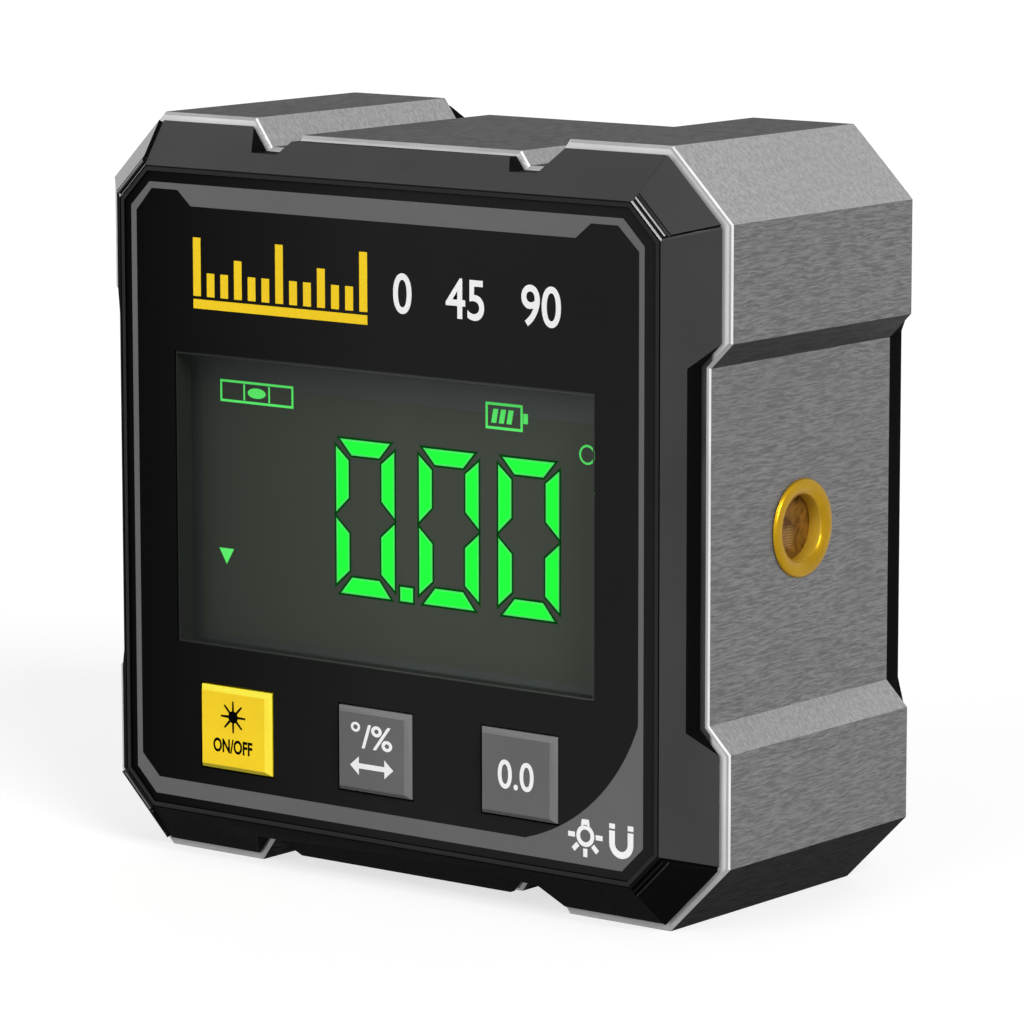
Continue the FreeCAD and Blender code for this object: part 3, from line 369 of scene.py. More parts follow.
materials = {
    # Aluminium ring
    # Painted light and shade: the ring's faces get tones by where they face, lighter on the upward slopes and
    # darker on the top, the undersides and the lowest chamfers; grazing also dims the reflection of the top
    # and the bottom.
    "side": brushed_aluminium("aluminium_side", "727272", *ALONG_DEPTH, contrast=0.3),
    "slope": brushed_aluminium("aluminium_slope_painted_light", "999999", *DOWN_SLOPE, contrast=0.16),
    "top": brushed_aluminium("aluminium_top_painted_shade", "585858", *ALONG_DEPTH, contrast=0.26, rough=0.5,
                             metallic=0.35, specular=0.0, grazing=0.3),
    "under": brushed_aluminium("aluminium_under_painted_shade", "3a3a3a", *ALONG_DEPTH, contrast=0.2, rough=0.6,
                               metallic=0.15, specular=0.1),
    "bottom": brushed_aluminium("aluminium_bottom_painted_shade", "3e3e3e", *ALONG_DEPTH, contrast=0.24, rough=0.5,
                                metallic=0.35, specular=0.0, grazing=0.3),
    # The polished chamfers carry a painted highlight on their half away from the sawn face.
    "edge": end_metal("aluminium_polished_edge_painted_highlight", "f6f6f6", "a8a8a8", 0.18, 0.85, beside_sawn_face),
    "shaded_edge": plated_metal("aluminium_edge_painted_shade", "a8a8a8", 0.35, 0.5),
    # Painted shade: the sawn face is light beside the measuring faces, dark in the recesses and half dark
    # near the base.
    "rim": end_metal("aluminium_sawn_end_painted_shade", "e0e0e0", "3a3a3a", 0.45, 0.1, recess_shade),
    # Covers
    "cover": moulded_plastic("cover_black_plastic", "313131", 0.46, SATIN, 0.2),
    # Painted light and shade: darker copies of the cover's plastic on the left and lower bevels, the rim and
    # the walls, and a painted reflection on the upper left bevel.
    "cover_side": moulded_plastic("cover_side_painted_shade", "262626", 0.6, SATIN, 0.0),
    "cover_sheen": moulded_plastic("cover_bevel_painted_reflection", "404040", 0.22, SMOOTH, 1.0),
    # Painted highlights on the cover's corner edges: bright above, dim or faint below.
    "cover_line": glint_line("cover_painted_highlight_line", "b4b4b4", 0.2),
    "cover_dim_line": glint_line("cover_painted_dim_highlight_line", "5a5a5a", 0.05),
    "cover_low_line": glint_line("cover_painted_faint_highlight_line", "1c1c1c", 0.0),
    "cover_rim": moulded_plastic("cover_rim_painted_shade", "161616", 0.5, SATIN, 0.15),
    "cover_wall": moulded_plastic("cover_wall_painted_shade", "070707", 0.7, SATIN, 0.02),
    "rear": moulded_plastic("rear_black_plastic", "262626", 0.6, COARSEST, 0.15, 2600, wear_and_sheen=0.0),
    # Painted shade: a darker copy of the rear plastic on its walls.
    "rear_wall": moulded_plastic("rear_wall_painted_shade", "0b0b0b", 0.7, COARSE, 0.02, 2600, wear_and_sheen=0.0),
    # Label and inks
    # Painted shade on the label film, darker towards its left end.
    "label": print_ink("label_black_film", "1e1e1e", 0.42, 0.02, left=0.1),
    "grey_ink": print_ink("ink_grey", "5e5e5e", 0.45, 0.25),
    "white_ink": print_ink("ink_white", "f4f4f4", 0.5, 0.2),
    "yellow_ink": print_ink("ink_yellow", "f6cf1a", 0.5, 0.2),
    "black_ink": print_ink("ink_black", "080806", 0.6, 0.0),
    # Display
    # Painted light and shade: the walls of the display's opening glow to even out their shade, and darken
    # towards the left.
    "opening_wall": print_ink("display_opening_wall_painted_light", "2c2e2b", 0.6, 0.02, glow=0.35, left=0.72),
    # Painted highlight on the edge of the display window, darker towards the left.
    "window_highlight_line": print_ink("window_edge_painted_highlight", "404240", 0.4, 0.04, left=0.26),
    "window": clear_sheet("window_clear_plastic", (0.93, 0.95, 0.94, 1.0), 0.08),
    # The display's glow stands partly for its backlight and partly for painted light that fills the shade
    # near the opening's walls; painted shade darkens it towards the left.
    "lcd": print_ink("lcd_dark_glass", "444645", 0.5, 0.03, glow=0.35, left=0.38),
    "lcd_field": print_ink("lcd_green_field", "42453f", 0.5, 0.03, glow=0.3, grainy=0.4, left=0.52),
    "lit": print_ink("lcd_lit_segment", "22ff3e", 0.5, 0.03, glow=0.45, grainy=0.5),
    "lit_edge": print_ink("lcd_segment_edge", "56dc6c", 0.5, 0.03, glow=0.3, grainy=0.5),
    "lit_rim": print_ink("lcd_segment_rim", "084f16", 0.5, 0.0),
    "lit_small": print_ink("lcd_small_symbol", "62ee70", 0.5, 0.03, glow=0.3, grainy=0.5),
    # Keys
    "yellow_key": moulded_plastic("key_yellow_plastic", "fad013", 0.38, SMOOTH, 0.3, 3000, 0.5),
    "grey_key": moulded_plastic("key_grey_plastic", "595959", 0.42, SATIN, 0.35, 3000, 0.5),
    # Painted highlight: brighter copies of the keys' plastic on their bevels.
    "yellow_edge": moulded_plastic("key_yellow_edge_painted_highlight", "ffdc34", 0.38, SMOOTH, 0.4, 3000, 0.5),
    "grey_edge": moulded_plastic("key_grey_edge_painted_highlight", "666666", 0.42, SATIN, 0.4, 3000, 0.5),
    # Laser
    "bezel": plated_metal("bezel_gold", "b28a14", 0.28, 0.9),
    "bezel_bore": plated_metal("bezel_gold_bore", "d6ae34", 0.35, 0.1),
    "amber": ribbed_amber("laser_window_amber", "55370c", "8a6024", "b08c58"),
    # Inside
    "steel": plated_metal("steel_screw", "7c7c7e", 0.34),
    "nickel": plated_metal("magnet_nickel", "b5b4b0", 0.25),
    "brass": plated_metal("brass", "c09a4a", 0.3),
    "spring": plated_metal("spring_wire", "b0b0b2", 0.25),
    "board": moulded_plastic("board_green_laminate", "1d5a34", 0.4, GRAINED, 0.5, 1500),
    "chip": moulded_plastic("chip_epoxy", "1c1c1e", 0.55, GRAINED, 0.4),
    "parts": moulded_plastic("component_ceramic", "b9a684", 0.45, GRAINED, 0.4),
    "white": moulded_plastic("plastic_white", "dcdcd8", 0.45, GRAINED, 0.4),
    "rubber": moulded_plastic("rubber_grey", "7e7e82", 0.7, COARSE, 0.2),
    "acrylic": moulded_plastic("acrylic_pale", "e4e8ea", 0.2, SMOOTH, 0.5),
    "switch": moulded_plastic("switch_black", "26262a", 0.5, GRAINED, 0.4),
    "red": moulded_plastic("insulation_red", "b01c18", 0.4, SMOOTH, 0.5),
    "black": moulded_plastic("insulation_black", "1b1b1b", 0.4, SMOOTH, 0.5),
    "cell": moulded_plastic("cell_wrap_slate", "3a4652", 0.28, SMOOTH, 0.5),
}

LOOK_NODES = {
    "label": ["front_label"],
    "window": ["display_window"],
    "lcd": ["lcd_panel"],
    "acrylic": ["backlight_panel", "laser_lens"],
    "white": ["backlight_leds", "display_frame", "laser_plunger", "unit_plunger", "zero_plunger"],
    "rubber": ["contact_strip"],
    "board": ["main_board", "laser_driver"],
    "chip": ["microcontroller", "tilt_sensor"],
    "parts": ["board_components"],
    "switch": ["laser_mount", "laser_switch", "unit_switch", "zero_switch"],
    "steel": ["board_screws", "crystal", "laser_mount_screws", "battery_door_screws", "housing_screws"],
    "brass": ["laser_barrel", "laser_diode"],
    "amber": ["laser_window"],
    "red": ["laser_leads", "red_lead"],
    "black": ["black_lead"],
    "spring": ["negative_contact", "positive_contact", "link_contact", "battery_springs"],
    "nickel": ["base_magnets"],
    "rear": ["battery_door"],
}
for look, names in LOOK_NODES.items():
    for name in names:
        nodes[name].data.materials.clear()
        nodes[name].data.materials.append(materials[look])


# ---------------------------------------------------------------- CAD nodes with several looks
# Parts of a face's normal along an axis, for a face that is square to the axis or leans towards it.
SQUARE = 0.9
LEANING = 0.3


def facets(name, looks, pick):
    """Gives each face of a CAD node one of several looks; pick gets its normal and its centre in mm."""
    mesh = nodes[name].data
    mesh.materials.clear()
    for look in looks:
        mesh.materials.append(materials[look])
    for face in mesh.polygons:
        face.material_index = looks.index(pick(face.normal, face.center / MM))


END_CHAMFER = 0.3               # mm, more than the ring's end chamfers reach
BOTTOM_HEIGHT = 8.0             # mm, above the ring's lower chamfers


def catches_light(normal):
    """True for edges on the right that don't face down, and on the left that face up."""
    return normal.x > 0.25 and normal.z > -0.2 or normal.x < -0.25 and normal.z > 0.2


def frame_face(normal, centre):
    """Sawn ends, polished edges beside them, and brushed faces in between; the tones that faces get by where
    they face are painted light and shade.
    """
    if abs(normal.y) > SQUARE:
        return "rim"
    if abs(normal.y) > LEANING and min(centre.y - ring_low.y, ring_high.y - centre.y) < END_CHAMFER:
        # Painted light and shade: a bright copy of the polished edge where it faces the light, and a duller
        # copy where it faces away.
        return "edge" if catches_light(normal) else "shaded_edge"
    if normal.z > SQUARE:
        return "top"
    if normal.z < -LEANING:
        return "under" if centre.z > BOTTOM_HEIGHT else "bottom"
    return "slope" if normal.z > LEANING else "side"


COVER_BEVEL = 0.3               # mm, more than the bright corner lines reach behind the cover's front
OPENING_HALF_WIDTH = 23.0       # mm, just outside the display's opening
OPENING_HEIGHTS = (17.0, 43.0)


def cover_face(normal, centre):
    """Satin bevels above and on the right; painted shade on the rim, on the left bevel, and in matt black
    where the light doesn't reach; a painted reflection on the upper left bevel, and painted highlight lines
    on the corner edges.
    """
    low, high = OPENING_HEIGHTS
    in_bevel = centre.y < Y_COVER + COVER_BEVEL
    if normal.y < -SQUARE:
        return "cover_rim"
    # Walls of the display's opening: painted light and shade.
    if abs(centre.x) < OPENING_HALF_WIDTH and low < centre.z < high and not in_bevel:
        return "opening_wall"
    # Corner edges: painted highlight lines, brighter on the upper corners.
    if -0.8 < normal.y < -LEANING and min(abs(normal.x), abs(normal.z)) > LEANING and in_bevel:
        if centre.z > RING_MIDDLE.z:
            return "cover_line" if normal.z > 0 else "cover_dim_line"
        return "cover_low_line" if centre.x > 0 else "cover_dim_line"
    if normal.x < -LEANING and normal.z > LEANING and normal.y < -LEANING:
        return "cover_sheen"
    if normal.x < -LEANING and normal.y < -LEANING:
        return "cover_side"
    if normal.y > -LEANING or normal.z < -LEANING or normal.x < -LEANING:
        return "cover_wall"
    return "cover"


def rear_face(normal, centre):
    # Painted shade on the walls of the rear cover.
    return "rear" if abs(normal.y) > LEANING else "rear_wall"


def bezel_face(normal, centre):
    """The bore's wall, which faces the ring's own axis, and the rest."""
    outwards = centre - (bezel_low + bezel_high) / 2
    inside = abs(normal.x) < LEANING and normal.y * outwards.y + normal.z * outwards.z < 0
    return "bezel_bore" if inside else "bezel"


def key_face(colour):
    """Brighter bevels round the front of a key: a painted highlight."""
    def pick(normal, centre):
        return colour + ("_edge" if -SQUARE < normal.y < -LEANING else "_key")
    return pick


TERMINAL = 1.2                  # mm, bare metal at a cell's positive end
wrap_end = box_mm("lower_cell")[1].x - TERMINAL


def cell_face(normal, centre):
    """Wrap, and the bare terminal: to the right on the lower cell, and to the left on the upper one."""
    return "spring" if abs(centre.x) > wrap_end else "cell"


facets("aluminium_frame", ["side", "slope", "top", "under", "bottom", "edge", "shaded_edge", "rim"],
       frame_face)
facets("front_cover", ["cover", "cover_side", "cover_sheen", "cover_line", "cover_dim_line",
                       "cover_low_line", "cover_rim", "cover_wall", "opening_wall"], cover_face)
facets("rear_cover", ["rear", "rear_wall"], rear_face)
for name, colour in (("laser_key", "yellow"), ("unit_key", "grey"), ("zero_key", "grey")):
    facets(name, [colour + "_key", colour + "_edge"], key_face(colour))
facets("laser_bezel", ["bezel", "bezel_bore"], bezel_face)
for name in ("lower_cell", "upper_cell"):
    facets(name, ["cell", "spring"], cell_face)


WELD_DISTANCE = 2 * MICRON
SHARP = math.radians(28)


def softened(names, width, segments):
    """Rounds the sharp edges of CAD nodes by a width in mm, as tooling leaves them."""
    for name in names:
        node = nodes[name]
        weld = node.modifiers.new("weld", "WELD")
        weld.merge_threshold = WELD_DISTANCE
        bevel = node.modifiers.new("edges", "BEVEL")
        bevel.width = width * MM
        bevel.segments = segments
        bevel.limit_method = "ANGLE"
        bevel.angle_limit = SHARP
        bevel.use_clamp_overlap = True
        normals = node.modifiers.new("normals", "WEIGHTED_NORMAL")
        normals.weight = 100


softened(["front_cover", "rear_cover", "battery_door"], 0.12, 2)
softened(["laser_key", "unit_key", "zero_key"], 0.15, 3)
softened(["laser_bezel"], 0.1, 2)


# ---------------------------------------------------------------- meshes of the prints
JOIN_DISTANCE = 0.0005          # mm


def evaluated_mesh(name, data):
    """Mesh of a curve or a text, with its corners joined and all faces turned outwards."""
    holder = bpy.data.objects.new(name, data)
    bpy.context.scene.collection.objects.link(holder)
    bpy.context.view_layer.update()
    graph = bpy.context.evaluated_depsgraph_get()
    mesh = bpy.data.meshes.new_from_object(holder.evaluated_get(graph))
    bpy.data.objects.remove(holder)
    shape = bmesh.new()
    shape.from_mesh(mesh)
    bmesh.ops.remove_doubles(shape, verts=shape.verts, dist=JOIN_DISTANCE)
    bmesh.ops.recalc_face_normals(shape, faces=shape.faces)
    shape.to_mesh(mesh)
    shape.free()
    mesh.shade_flat()
    return mesh


def plates_mesh(name, plates):
    """Thin plates in mm; each is a closed (x, z) outline, or an outline and its holes in a tuple."""
    whole = bmesh.new()
    for plate in plates:
        curve = bpy.data.curves.new(name, "CURVE")
        curve.dimensions = "2D"
        curve.fill_mode = "BOTH"
        curve.extrude = PRINT_THICKNESS / 2
        for outline in plate if isinstance(plate, tuple) else (plate,):
            spline = curve.splines.new("POLY")
            spline.points.add(len(outline) - 1)
            for point, (x, z) in zip(spline.points, outline):
                point.co = (x, z, 0, 1)
            spline.use_cyclic_u = True
        whole.from_mesh(evaluated_mesh(name, curve))
    mesh = bpy.data.meshes.new(name)
    whole.to_mesh(mesh)
    whole.free()
    return mesh


def text_mesh(name, text, x0, x1, z0, z1, bold):
    """Characters of the built-in face, stretched to fill a rectangle in mm and as thick as a print."""
    curve = bpy.data.curves.new(name, "FONT")
    curve.body = text
    curve.offset = bold
    curve.resolution_u = 8
    mesh = evaluated_mesh(name, curve)
    xs = [vertex.co.x for vertex in mesh.vertices]
    zs = [vertex.co.y for vertex in mesh.vertices]
    wide = (x1 - x0) / (max(xs) - min(xs))
    high = (z1 - z0) / (max(zs) - min(zs))
    for vertex, x, z in zip(mesh.vertices, xs, zs):
        vertex.co = ((x - min(xs)) * wide + x0, (z - min(zs)) * high + z0, 0.0)
    shape = bmesh.new()
    shape.from_mesh(mesh)
    solid = bmesh.ops.extrude_face_region(shape, geom=list(shape.faces))
    risen = [part for part in solid["geom"] if isinstance(part, bmesh.types.BMVert)]
    bmesh.ops.translate(shape, verts=risen, vec=(0, 0, PRINT_THICKNESS))
    bmesh.ops.translate(shape, verts=shape.verts, vec=(0, 0, -PRINT_THICKNESS / 2))
    bmesh.ops.recalc_face_normals(shape, faces=shape.faces)
    shape.to_mesh(mesh)
    shape.free()
    mesh.shade_flat()
    return mesh


def lay(name, mesh, y, look, body):
    """Lays a mesh drawn in (x, z) mm on the plane y (mm), towards the front, as a piece of a body."""
    upright = Matrix.Rotation(math.radians(90), 4, "X")
    mesh.transform(Matrix.Translation((0, y - PRINT_THICKNESS / 2, 0)) @ upright)
    mesh.transform(Matrix.Scale(MM, 4))
    mesh.name = name
    mesh.materials.append(materials[look])
    piece = bpy.data.objects.new(name, mesh)
    bpy.context.scene.collection.objects.link(piece)
    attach(piece, body)


def print_plates(name, plates, y, look, slot, body):
    lay(name, plates_mesh(name, plates), y, look, body)


def print_text(name, text, corners, y, look, slot, body, bold=0.012):
    lay(name, text_mesh(name, text, *corners, bold), y, look, body)


# ---------------------------------------------------------------- outlines, in mm
def rectangle(x0, x1, z0, z1):
    return [(x0, z0), (x1, z0), (x1, z1), (x0, z1)]


def hollow(x0, x1, z0, z1, line):
    """Rectangle drawn as a line of a width, with its hole."""
    return (rectangle(x0, x1, z0, z1), rectangle(x0 + line, x1 - line, z0 + line, z1 - line))


def arc(x, z, radius, degrees):
    """Points at a distance from (x, z), one at each of some angles."""
    return [(x + radius * math.cos(math.radians(a)), z + radius * math.sin(math.radians(a)))
            for a in degrees]


def disc(x, z, radius):
    return arc(x, z, radius, range(0, 360, 9))


def bar(x0, z0, x1, z1, width):
    """Straight stroke with square ends."""
    length = math.dist((x0, z0), (x1, z1))
    ax = (z0 - z1) / length * width / 2
    az = (x1 - x0) / length * width / 2
    return [(x0 + ax, z0 + az), (x0 - ax, z0 - az), (x1 - ax, z1 - az), (x1 + ax, z1 + az)]


def moved(outline, dx, dz):
    return [(x + dx, z + dz) for x, z in outline]


def grown(outline, by):
    """Convex outline with its sides moved outwards by a distance, or inwards if it is negative."""
    area = sum(a[0] * b[1] - b[0] * a[1] for a, b in zip(outline, outline[1:] + outline[:1]))
    side = 1 if area > 0 else -1
    result = []
    for i, here in enumerate(outline):
        before, after = outline[i - 1], outline[(i + 1) % len(outline)]
        normals = []
        for start, end in ((before, here), (here, after)):
            length = math.dist(start, end)
            normals.append(((end[1] - start[1]) / length * side, (start[0] - end[0]) / length * side))
        (ax, az), (bx, bz) = normals
        turn = ax * bz - az * bx
        result.append((here[0] + by * (bz - az) / turn, here[1] + by * (ax - bx) / turn))
    return result


# ---------------------------------------------------------------- prints on the label
LABEL = ("label_film", "housing")           # slot and body

# Border: a grey line that widens to a band along the top and bottom, and fills the lower right corner.
BORDER_OUTER = [(-23.95, 5.13), (23.47, 5.13), (25.47, 7.13), (25.47, 53.22), (23.47, 55.22),
                (-23.95, 55.22), (-25.95, 53.22), (-25.95, 7.13)]
CORNER_ARC = arc(9.95, 21.94, 15.96, range(-20, -75, -3))
BORDER_INNER = [(-25.4, 52.85), (-23.73, 54.7), (-20.99, 54.7), (-19.6, 53.46), (18.98, 53.46),
                (20.44, 54.65), (22.99, 54.65), (24.98, 52.79), (24.98, 16.78), *CORNER_ARC,
                (14.2, 6.52), (-23.59, 6.52), (-25.4, 8.3)]
print_plates("border_print", [(BORDER_OUTER, BORDER_INNER)], Y_LABEL, "grey_ink", *LABEL)

Y_ON_GREY = Y_LABEL - PRINT_THICKNESS

BULB_X, BULB_Z = 19.98, 7.43
BULB_RADIUS, BULB_HOLE = 0.86, 0.5
CAP_FOOT, CAP_TOP = (0.42, 0.8), (0.34, 1.3)            # half its width, and how far above the middle
RAY_START, RAY_END, RAY_WIDTH = 1.0, 1.66, 0.4


def lamp_mark():
    """Bulb with its cap upwards and rays round the rest."""
    cap = [(-CAP_FOOT[0], CAP_FOOT[1]), CAP_FOOT, CAP_TOP, (-CAP_TOP[0], CAP_TOP[1])]
    marks = [(disc(BULB_X, BULB_Z, BULB_RADIUS), disc(BULB_X, BULB_Z, BULB_HOLE)),
             moved(cap, BULB_X, BULB_Z)]
    for degrees in (-90, -135, -45, 180, 0):
        start, end = (arc(BULB_X, BULB_Z, reach, [degrees])[0] for reach in (RAY_START, RAY_END))
        marks.append(bar(*start, *end, RAY_WIDTH))
    return marks


print_plates("lamp_mark_print", lamp_mark(), Y_ON_GREY, "white_ink", *LABEL)

MAGNET_X, MAGNET_Z = 23.42, 7.25
MAGNET_RADIUS, MAGNET_STROKE = 0.88, 0.27               # to the middle of the stroke, and half its width
LEG_TOP, TIP_LOW, TIP_HIGH = 0.95, 1.1, 1.5             # above the arc's middle


def magnet_mark():
    """Horseshoe magnet: an arc below with two legs, and a tip over each leg."""
    outer = arc(MAGNET_X, MAGNET_Z, MAGNET_RADIUS + MAGNET_STROKE, range(180, 361, 9))
    inner = arc(MAGNET_X, MAGNET_Z, MAGNET_RADIUS - MAGNET_STROKE, range(360, 179, -9))
    top = MAGNET_Z + LEG_TOP
    marks = [[(outer[0][0], top), *outer, (outer[-1][0], top), (inner[0][0], top), *inner,
              (inner[-1][0], top)]]
    for x in (MAGNET_X - MAGNET_RADIUS, MAGNET_X + MAGNET_RADIUS):
        marks.append(rectangle(x - MAGNET_STROKE, x + MAGNET_STROKE, MAGNET_Z + TIP_LOW, MAGNET_Z + TIP_HIGH))
    return marks


print_plates("magnet_mark_print", magnet_mark(), Y_ON_GREY, "white_ink", *LABEL)

SCALE_LEFT, SCALE_RIGHT, SCALE_BASE = -19.4, -1.4, 45.3
SCALE_LINE = 0.75
TICK_FOOT = SCALE_BASE + 1.0
TICK_WIDTH = 0.8
TICK_COUNT = 13
LONG, MEDIUM, SHORT = 4.7, 3.1, 1.9


def scale_ticks():
    """Plain scale: ticks of three lengths over a line."""
    first = SCALE_LEFT + TICK_WIDTH / 2
    step = (SCALE_RIGHT - SCALE_LEFT - TICK_WIDTH) / (TICK_COUNT - 1)
    marks = []
    for i in range(TICK_COUNT):
        height = LONG if i % 6 == 0 else MEDIUM if i % 3 == 0 else SHORT
        x = first + step * i
        marks.append(rectangle(x - TICK_WIDTH / 2, x + TICK_WIDTH / 2, TICK_FOOT, TICK_FOOT + height))
    marks.append(rectangle(SCALE_LEFT, SCALE_RIGHT, SCALE_BASE, SCALE_BASE + SCALE_LINE))
    return marks


print_plates("scale_ticks_print", scale_ticks(), Y_LABEL, "yellow_ink", *LABEL)
print_text("angle_numbers_print", "0   45   90", (1.2, 17.6, 46.4, 49.6), Y_LABEL, "white_ink", *LABEL)

# ---------------------------------------------------------------- display
# Painted highlight: a paler line laid on the moulded edge of the display window, where it catches the light,
# with painted shade towards the left.
WINDOW_FLANGE = 1.45
WINDOW_LINE = 0.12
window_edge = hollow(window_low.x + WINDOW_FLANGE, window_high.x - WINDOW_FLANGE,
                     window_low.z + WINDOW_FLANGE, window_high.z - WINDOW_FLANGE, WINDOW_LINE)
print_plates("window_edge_painted_highlight", [window_edge], window_low.y, "window_highlight_line", "window_plastic", "housing")

LCD = ("lcd_glass", "housing")              # slot and body
FIELD = (-21.2, 20.8, 18.4, 38.85)
print_plates("lcd_field", [rectangle(*FIELD)], Y_LCD, "lcd_field", *LCD)

SEGMENTS = {
    "top": [(0.42, 12.5), (5.52, 12.5), (4.42, 11.25), (1.6, 11.25)],
    "bottom": [(1.6, 1.42), (4.38, 1.42), (5.5, 0.08), (0.45, 0.08)],
    "left_high": [(0.0, 11.85), (1.28, 10.8), (1.28, 7.8), (0.0, 6.6)],
    "left_low": [(0.0, 6.1), (1.32, 4.95), (1.32, 1.95), (0.0, 0.82)],
    "right_high": [(5.95, 11.85), (5.95, 6.6), (4.65, 7.8), (4.65, 10.8)],
    "right_low": [(5.95, 6.1), (5.95, 0.82), (4.6, 1.95), (4.6, 4.95)],
}
DIGITS_X = (-7.1, 1.35, 9.25)
DIGITS_Z = 23.05
DECIMAL_POINT = (-0.6, 0.7, 23.1, 24.25)
RIM_WIDTH = 0.18                # dark line round each lit segment
PALE_WIDTH = 0.13               # paler border inside it

# The digits are three prints on each other: dark rims, pale borders and bright hearts.
digits = [moved(outline, x, DIGITS_Z) for x in DIGITS_X for outline in SEGMENTS.values()]
digits.append(rectangle(*DECIMAL_POINT))
Y_MARKS = Y_LCD - PRINT_THICKNESS
print_plates("digit_rims", [grown(outline, RIM_WIDTH) for outline in digits], Y_MARKS, "lit_rim", *LCD)
print_plates("digit_edges", digits, Y_MARKS - PRINT_THICKNESS, "lit_edge", *LCD)
print_plates("digits", [grown(outline, -PALE_WIDTH) for outline in digits],
             Y_MARKS - 2 * PRINT_THICKNESS, "lit", *LCD)

DEGREE_X, DEGREE_Z = 17.9, 36.45
BUBBLE_X, BUBBLE_Z, BUBBLE_HALF_WIDTH, BUBBLE_HALF_HEIGHT = -15.35, 38.4, 0.95, 0.42


def battery_mark():
    """Battery with its terminal and three slanted bars."""
    marks = [hollow(8.0, 11.65, 37.65, 39.75, 0.22), rectangle(11.7, 12.15, 38.3, 39.1)]
    for x in (8.55, 9.3, 10.05):
        marks.append([(x, 38.15), (x + 0.5, 38.15), (x + 0.72, 39.25), (x + 0.22, 39.25)])
    return marks


def vial_mark():
    """Spirit level: a tube with two lines and a bubble between them."""
    bubble = [(BUBBLE_X + BUBBLE_HALF_WIDTH * x, BUBBLE_Z + BUBBLE_HALF_HEIGHT * z)
              for x, z in arc(0, 0, 1, range(0, 360, 12))]
    return [hollow(-19.2, -11.5, 37.5, 39.3, 0.2), rectangle(-16.75, -16.58, 37.75, 39.05),
            rectangle(-14.12, -13.95, 37.75, 39.05), bubble]


degree_ring = (disc(DEGREE_X, DEGREE_Z, 0.78), disc(DEGREE_X, DEGREE_Z, 0.6))
degree_dot = disc(18.7, 33.55, 0.13)
pointer = [(-19.46, 25.5), (-17.9, 25.5), (-18.68, 24.2)]
print_plates("lcd_symbols", [degree_ring, degree_dot, pointer, *battery_mark(), *vial_mark()], Y_MARKS,
             "lit_small", *LCD)

# ---------------------------------------------------------------- prints on the keys
key_middles = {}
for name in ("laser_key", "unit_key", "zero_key"):
    key_low, key_high = box_mm(name)
    key_middles[name] = ((key_low.x + key_high.x) / 2, (key_low.z + key_high.z) / 2)

# Sun mark: each of its eight rays has four points, and one point of the round middle follows it. A point
# is an angle off the ray's own in radians, and a distance in mm.
SUN_POINTS = ((-0.22, 0.5), (-0.06, 1.3), (0.06, 1.3), (0.22, 0.5), (0.39, 0.5))
SUN_RAYS = 8
x, z = key_middles["laser_key"]
sun_mark = []
for i in range(SUN_RAYS):
    for turn, radius in SUN_POINTS:
        angle = math.tau * i / SUN_RAYS + turn
        sun_mark.append((x + radius * math.cos(angle), z + 1.1 + radius * math.sin(angle)))
print_plates("beam_mark_print", [sun_mark], Y_KEYS, "black_ink", "laser_key_yellow", "laser_key")
print_text("on_off_print", "ON/OFF", (x - 2.12, x + 2.02, z - 1.9, z - 0.75), Y_KEYS, "black_ink",
           "laser_key_yellow", "laser_key", bold=0.03)

x, z = key_middles["unit_key"]
half_arrow = [(1.3, -0.21), (1.3, -0.75), (2.2, 0.0), (1.3, 0.75), (1.3, 0.21)]
arrow = half_arrow + [(-u, -v) for u, v in half_arrow]
print_text("unit_print", "°/%", (x - 2.1, x + 2.1, z + 0.25, z + 2.3), Y_KEYS, "white_ink",
           "key_grey", "unit_key")
print_plates("swap_mark_print", [moved(arrow, x, z - 1.2)], Y_KEYS, "white_ink", "key_grey", "unit_key")

x, z = key_middles["zero_key"]
print_text("zero_print", "0.0", (x - 1.75, x + 1.75, z - 1.15, z + 1.15), Y_KEYS, "white_ink",
           "key_grey", "zero_key")

# ---------------------------------------------------------------- stage, light and camera
FLOOR_REACH = 6.0
FLOOR_TONE = (0.42, 0.42, 0.42, 1.0)
FLOOR_GLOW = 0.7                # makes the floor white where it is seen, without lighting the object
WORLD_LIGHT = 0.28

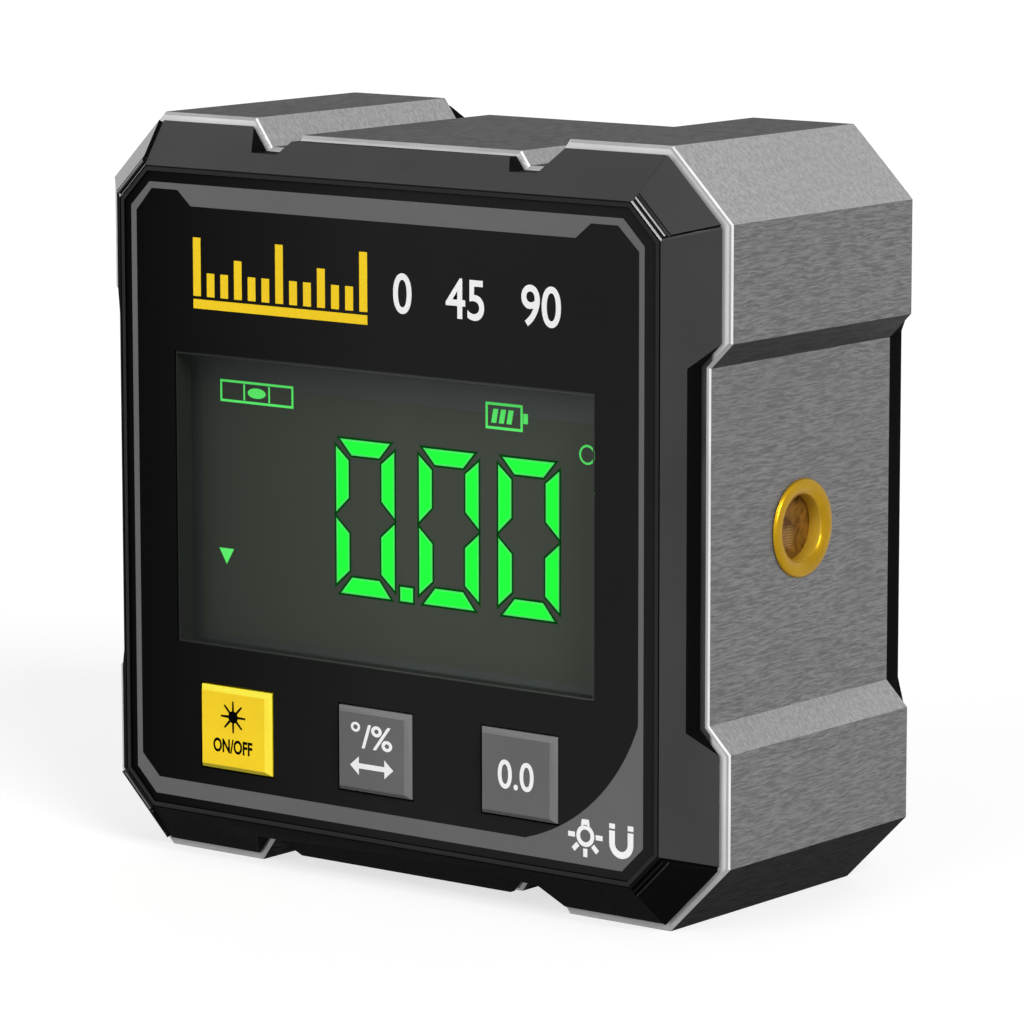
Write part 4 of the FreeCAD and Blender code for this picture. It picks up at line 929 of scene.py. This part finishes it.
floor_corners = rectangle(-FLOOR_REACH, FLOOR_REACH, -FLOOR_REACH, FLOOR_REACH)
floor_mesh = bpy.data.meshes.new("floor")
floor_mesh.from_pydata([(x, y, 0) for x, y in floor_corners], [], [(0, 1, 2, 3)])
floor = bpy.data.objects.new("floor", floor_mesh)
bpy.context.scene.collection.objects.link(floor)
floor_look = Look("floor_pale", Base_Color=FLOOR_TONE, Roughness=0.9, Specular_IOR_Level=0.0)
glow_strength = floor_look.times(floor_look.seen(), FLOOR_GLOW)
glow = floor_look.node("ShaderNodeEmission", {"Strength": glow_strength})
floor_look.show(floor_look.node("ShaderNodeAddShader", {
    0: floor_look.shader.outputs[0], 1: glow.outputs[0]}).outputs[0])
floor_mesh.materials.append(floor_look.material)

world = bpy.data.worlds.new("studio")
world.use_nodes = True
bpy.context.scene.world = world
sky = Nodes(world.node_tree)
background = world.node_tree.nodes["Background"]
background.inputs["Color"].default_value = (1, 1, 1, 1)
sky.feed(background.inputs["Strength"], sky.spread(sky.seen(), WORLD_LIGHT, 1.0))


def sun(name, towards, strength, degrees):
    """Lamp that shines from a direction; degrees is how wide it looks, which softens its shadows."""
    light = bpy.data.lights.new(name, "SUN")
    light.energy = strength
    light.angle = math.radians(degrees)
    lamp = bpy.data.objects.new(name, light)
    lamp.rotation_euler = Vector(towards).to_track_quat("Z", "Y").to_euler()
    bpy.context.scene.collection.objects.link(lamp)


sun("key_light", (0.8, -0.42, 0.55), 2.1, 25)
sun("fill_light", (-0.1, -1.0, 0.3), 1.3, 50)
sun("rear_light", (-0.5, 1.0, 0.15), 1.2, 50)

# The camera, as fitted to the corners that the photo shows.
CAMERA_SPOT = Vector((0.26369, -0.33842, 0.09719))
AZIMUTH, ELEVATION, ROLL = (math.radians(a) for a in (37.88, 9.08, -0.06))
LENS = 189.33
ahead = Vector((-math.sin(AZIMUTH) * math.cos(ELEVATION), math.cos(AZIMUTH) * math.cos(ELEVATION),
                -math.sin(ELEVATION)))
level = ahead.cross(Vector((0, 0, 1))).normalized()
upright = level.cross(ahead)
right = math.cos(ROLL) * level + math.sin(ROLL) * upright
up = math.cos(ROLL) * upright - math.sin(ROLL) * level
camera_data = bpy.data.cameras.new("camera")
camera_data.lens = LENS
camera_data.clip_start = 0.01
camera = bpy.data.objects.new("camera", camera_data)
camera.matrix_world = Matrix.Translation(CAMERA_SPOT) @ Matrix((right, up, -ahead)).transposed().to_4x4()
bpy.context.scene.collection.objects.link(camera)
bpy.context.scene.camera = camera
bpy.context.scene.view_settings.view_transform = "Standard"
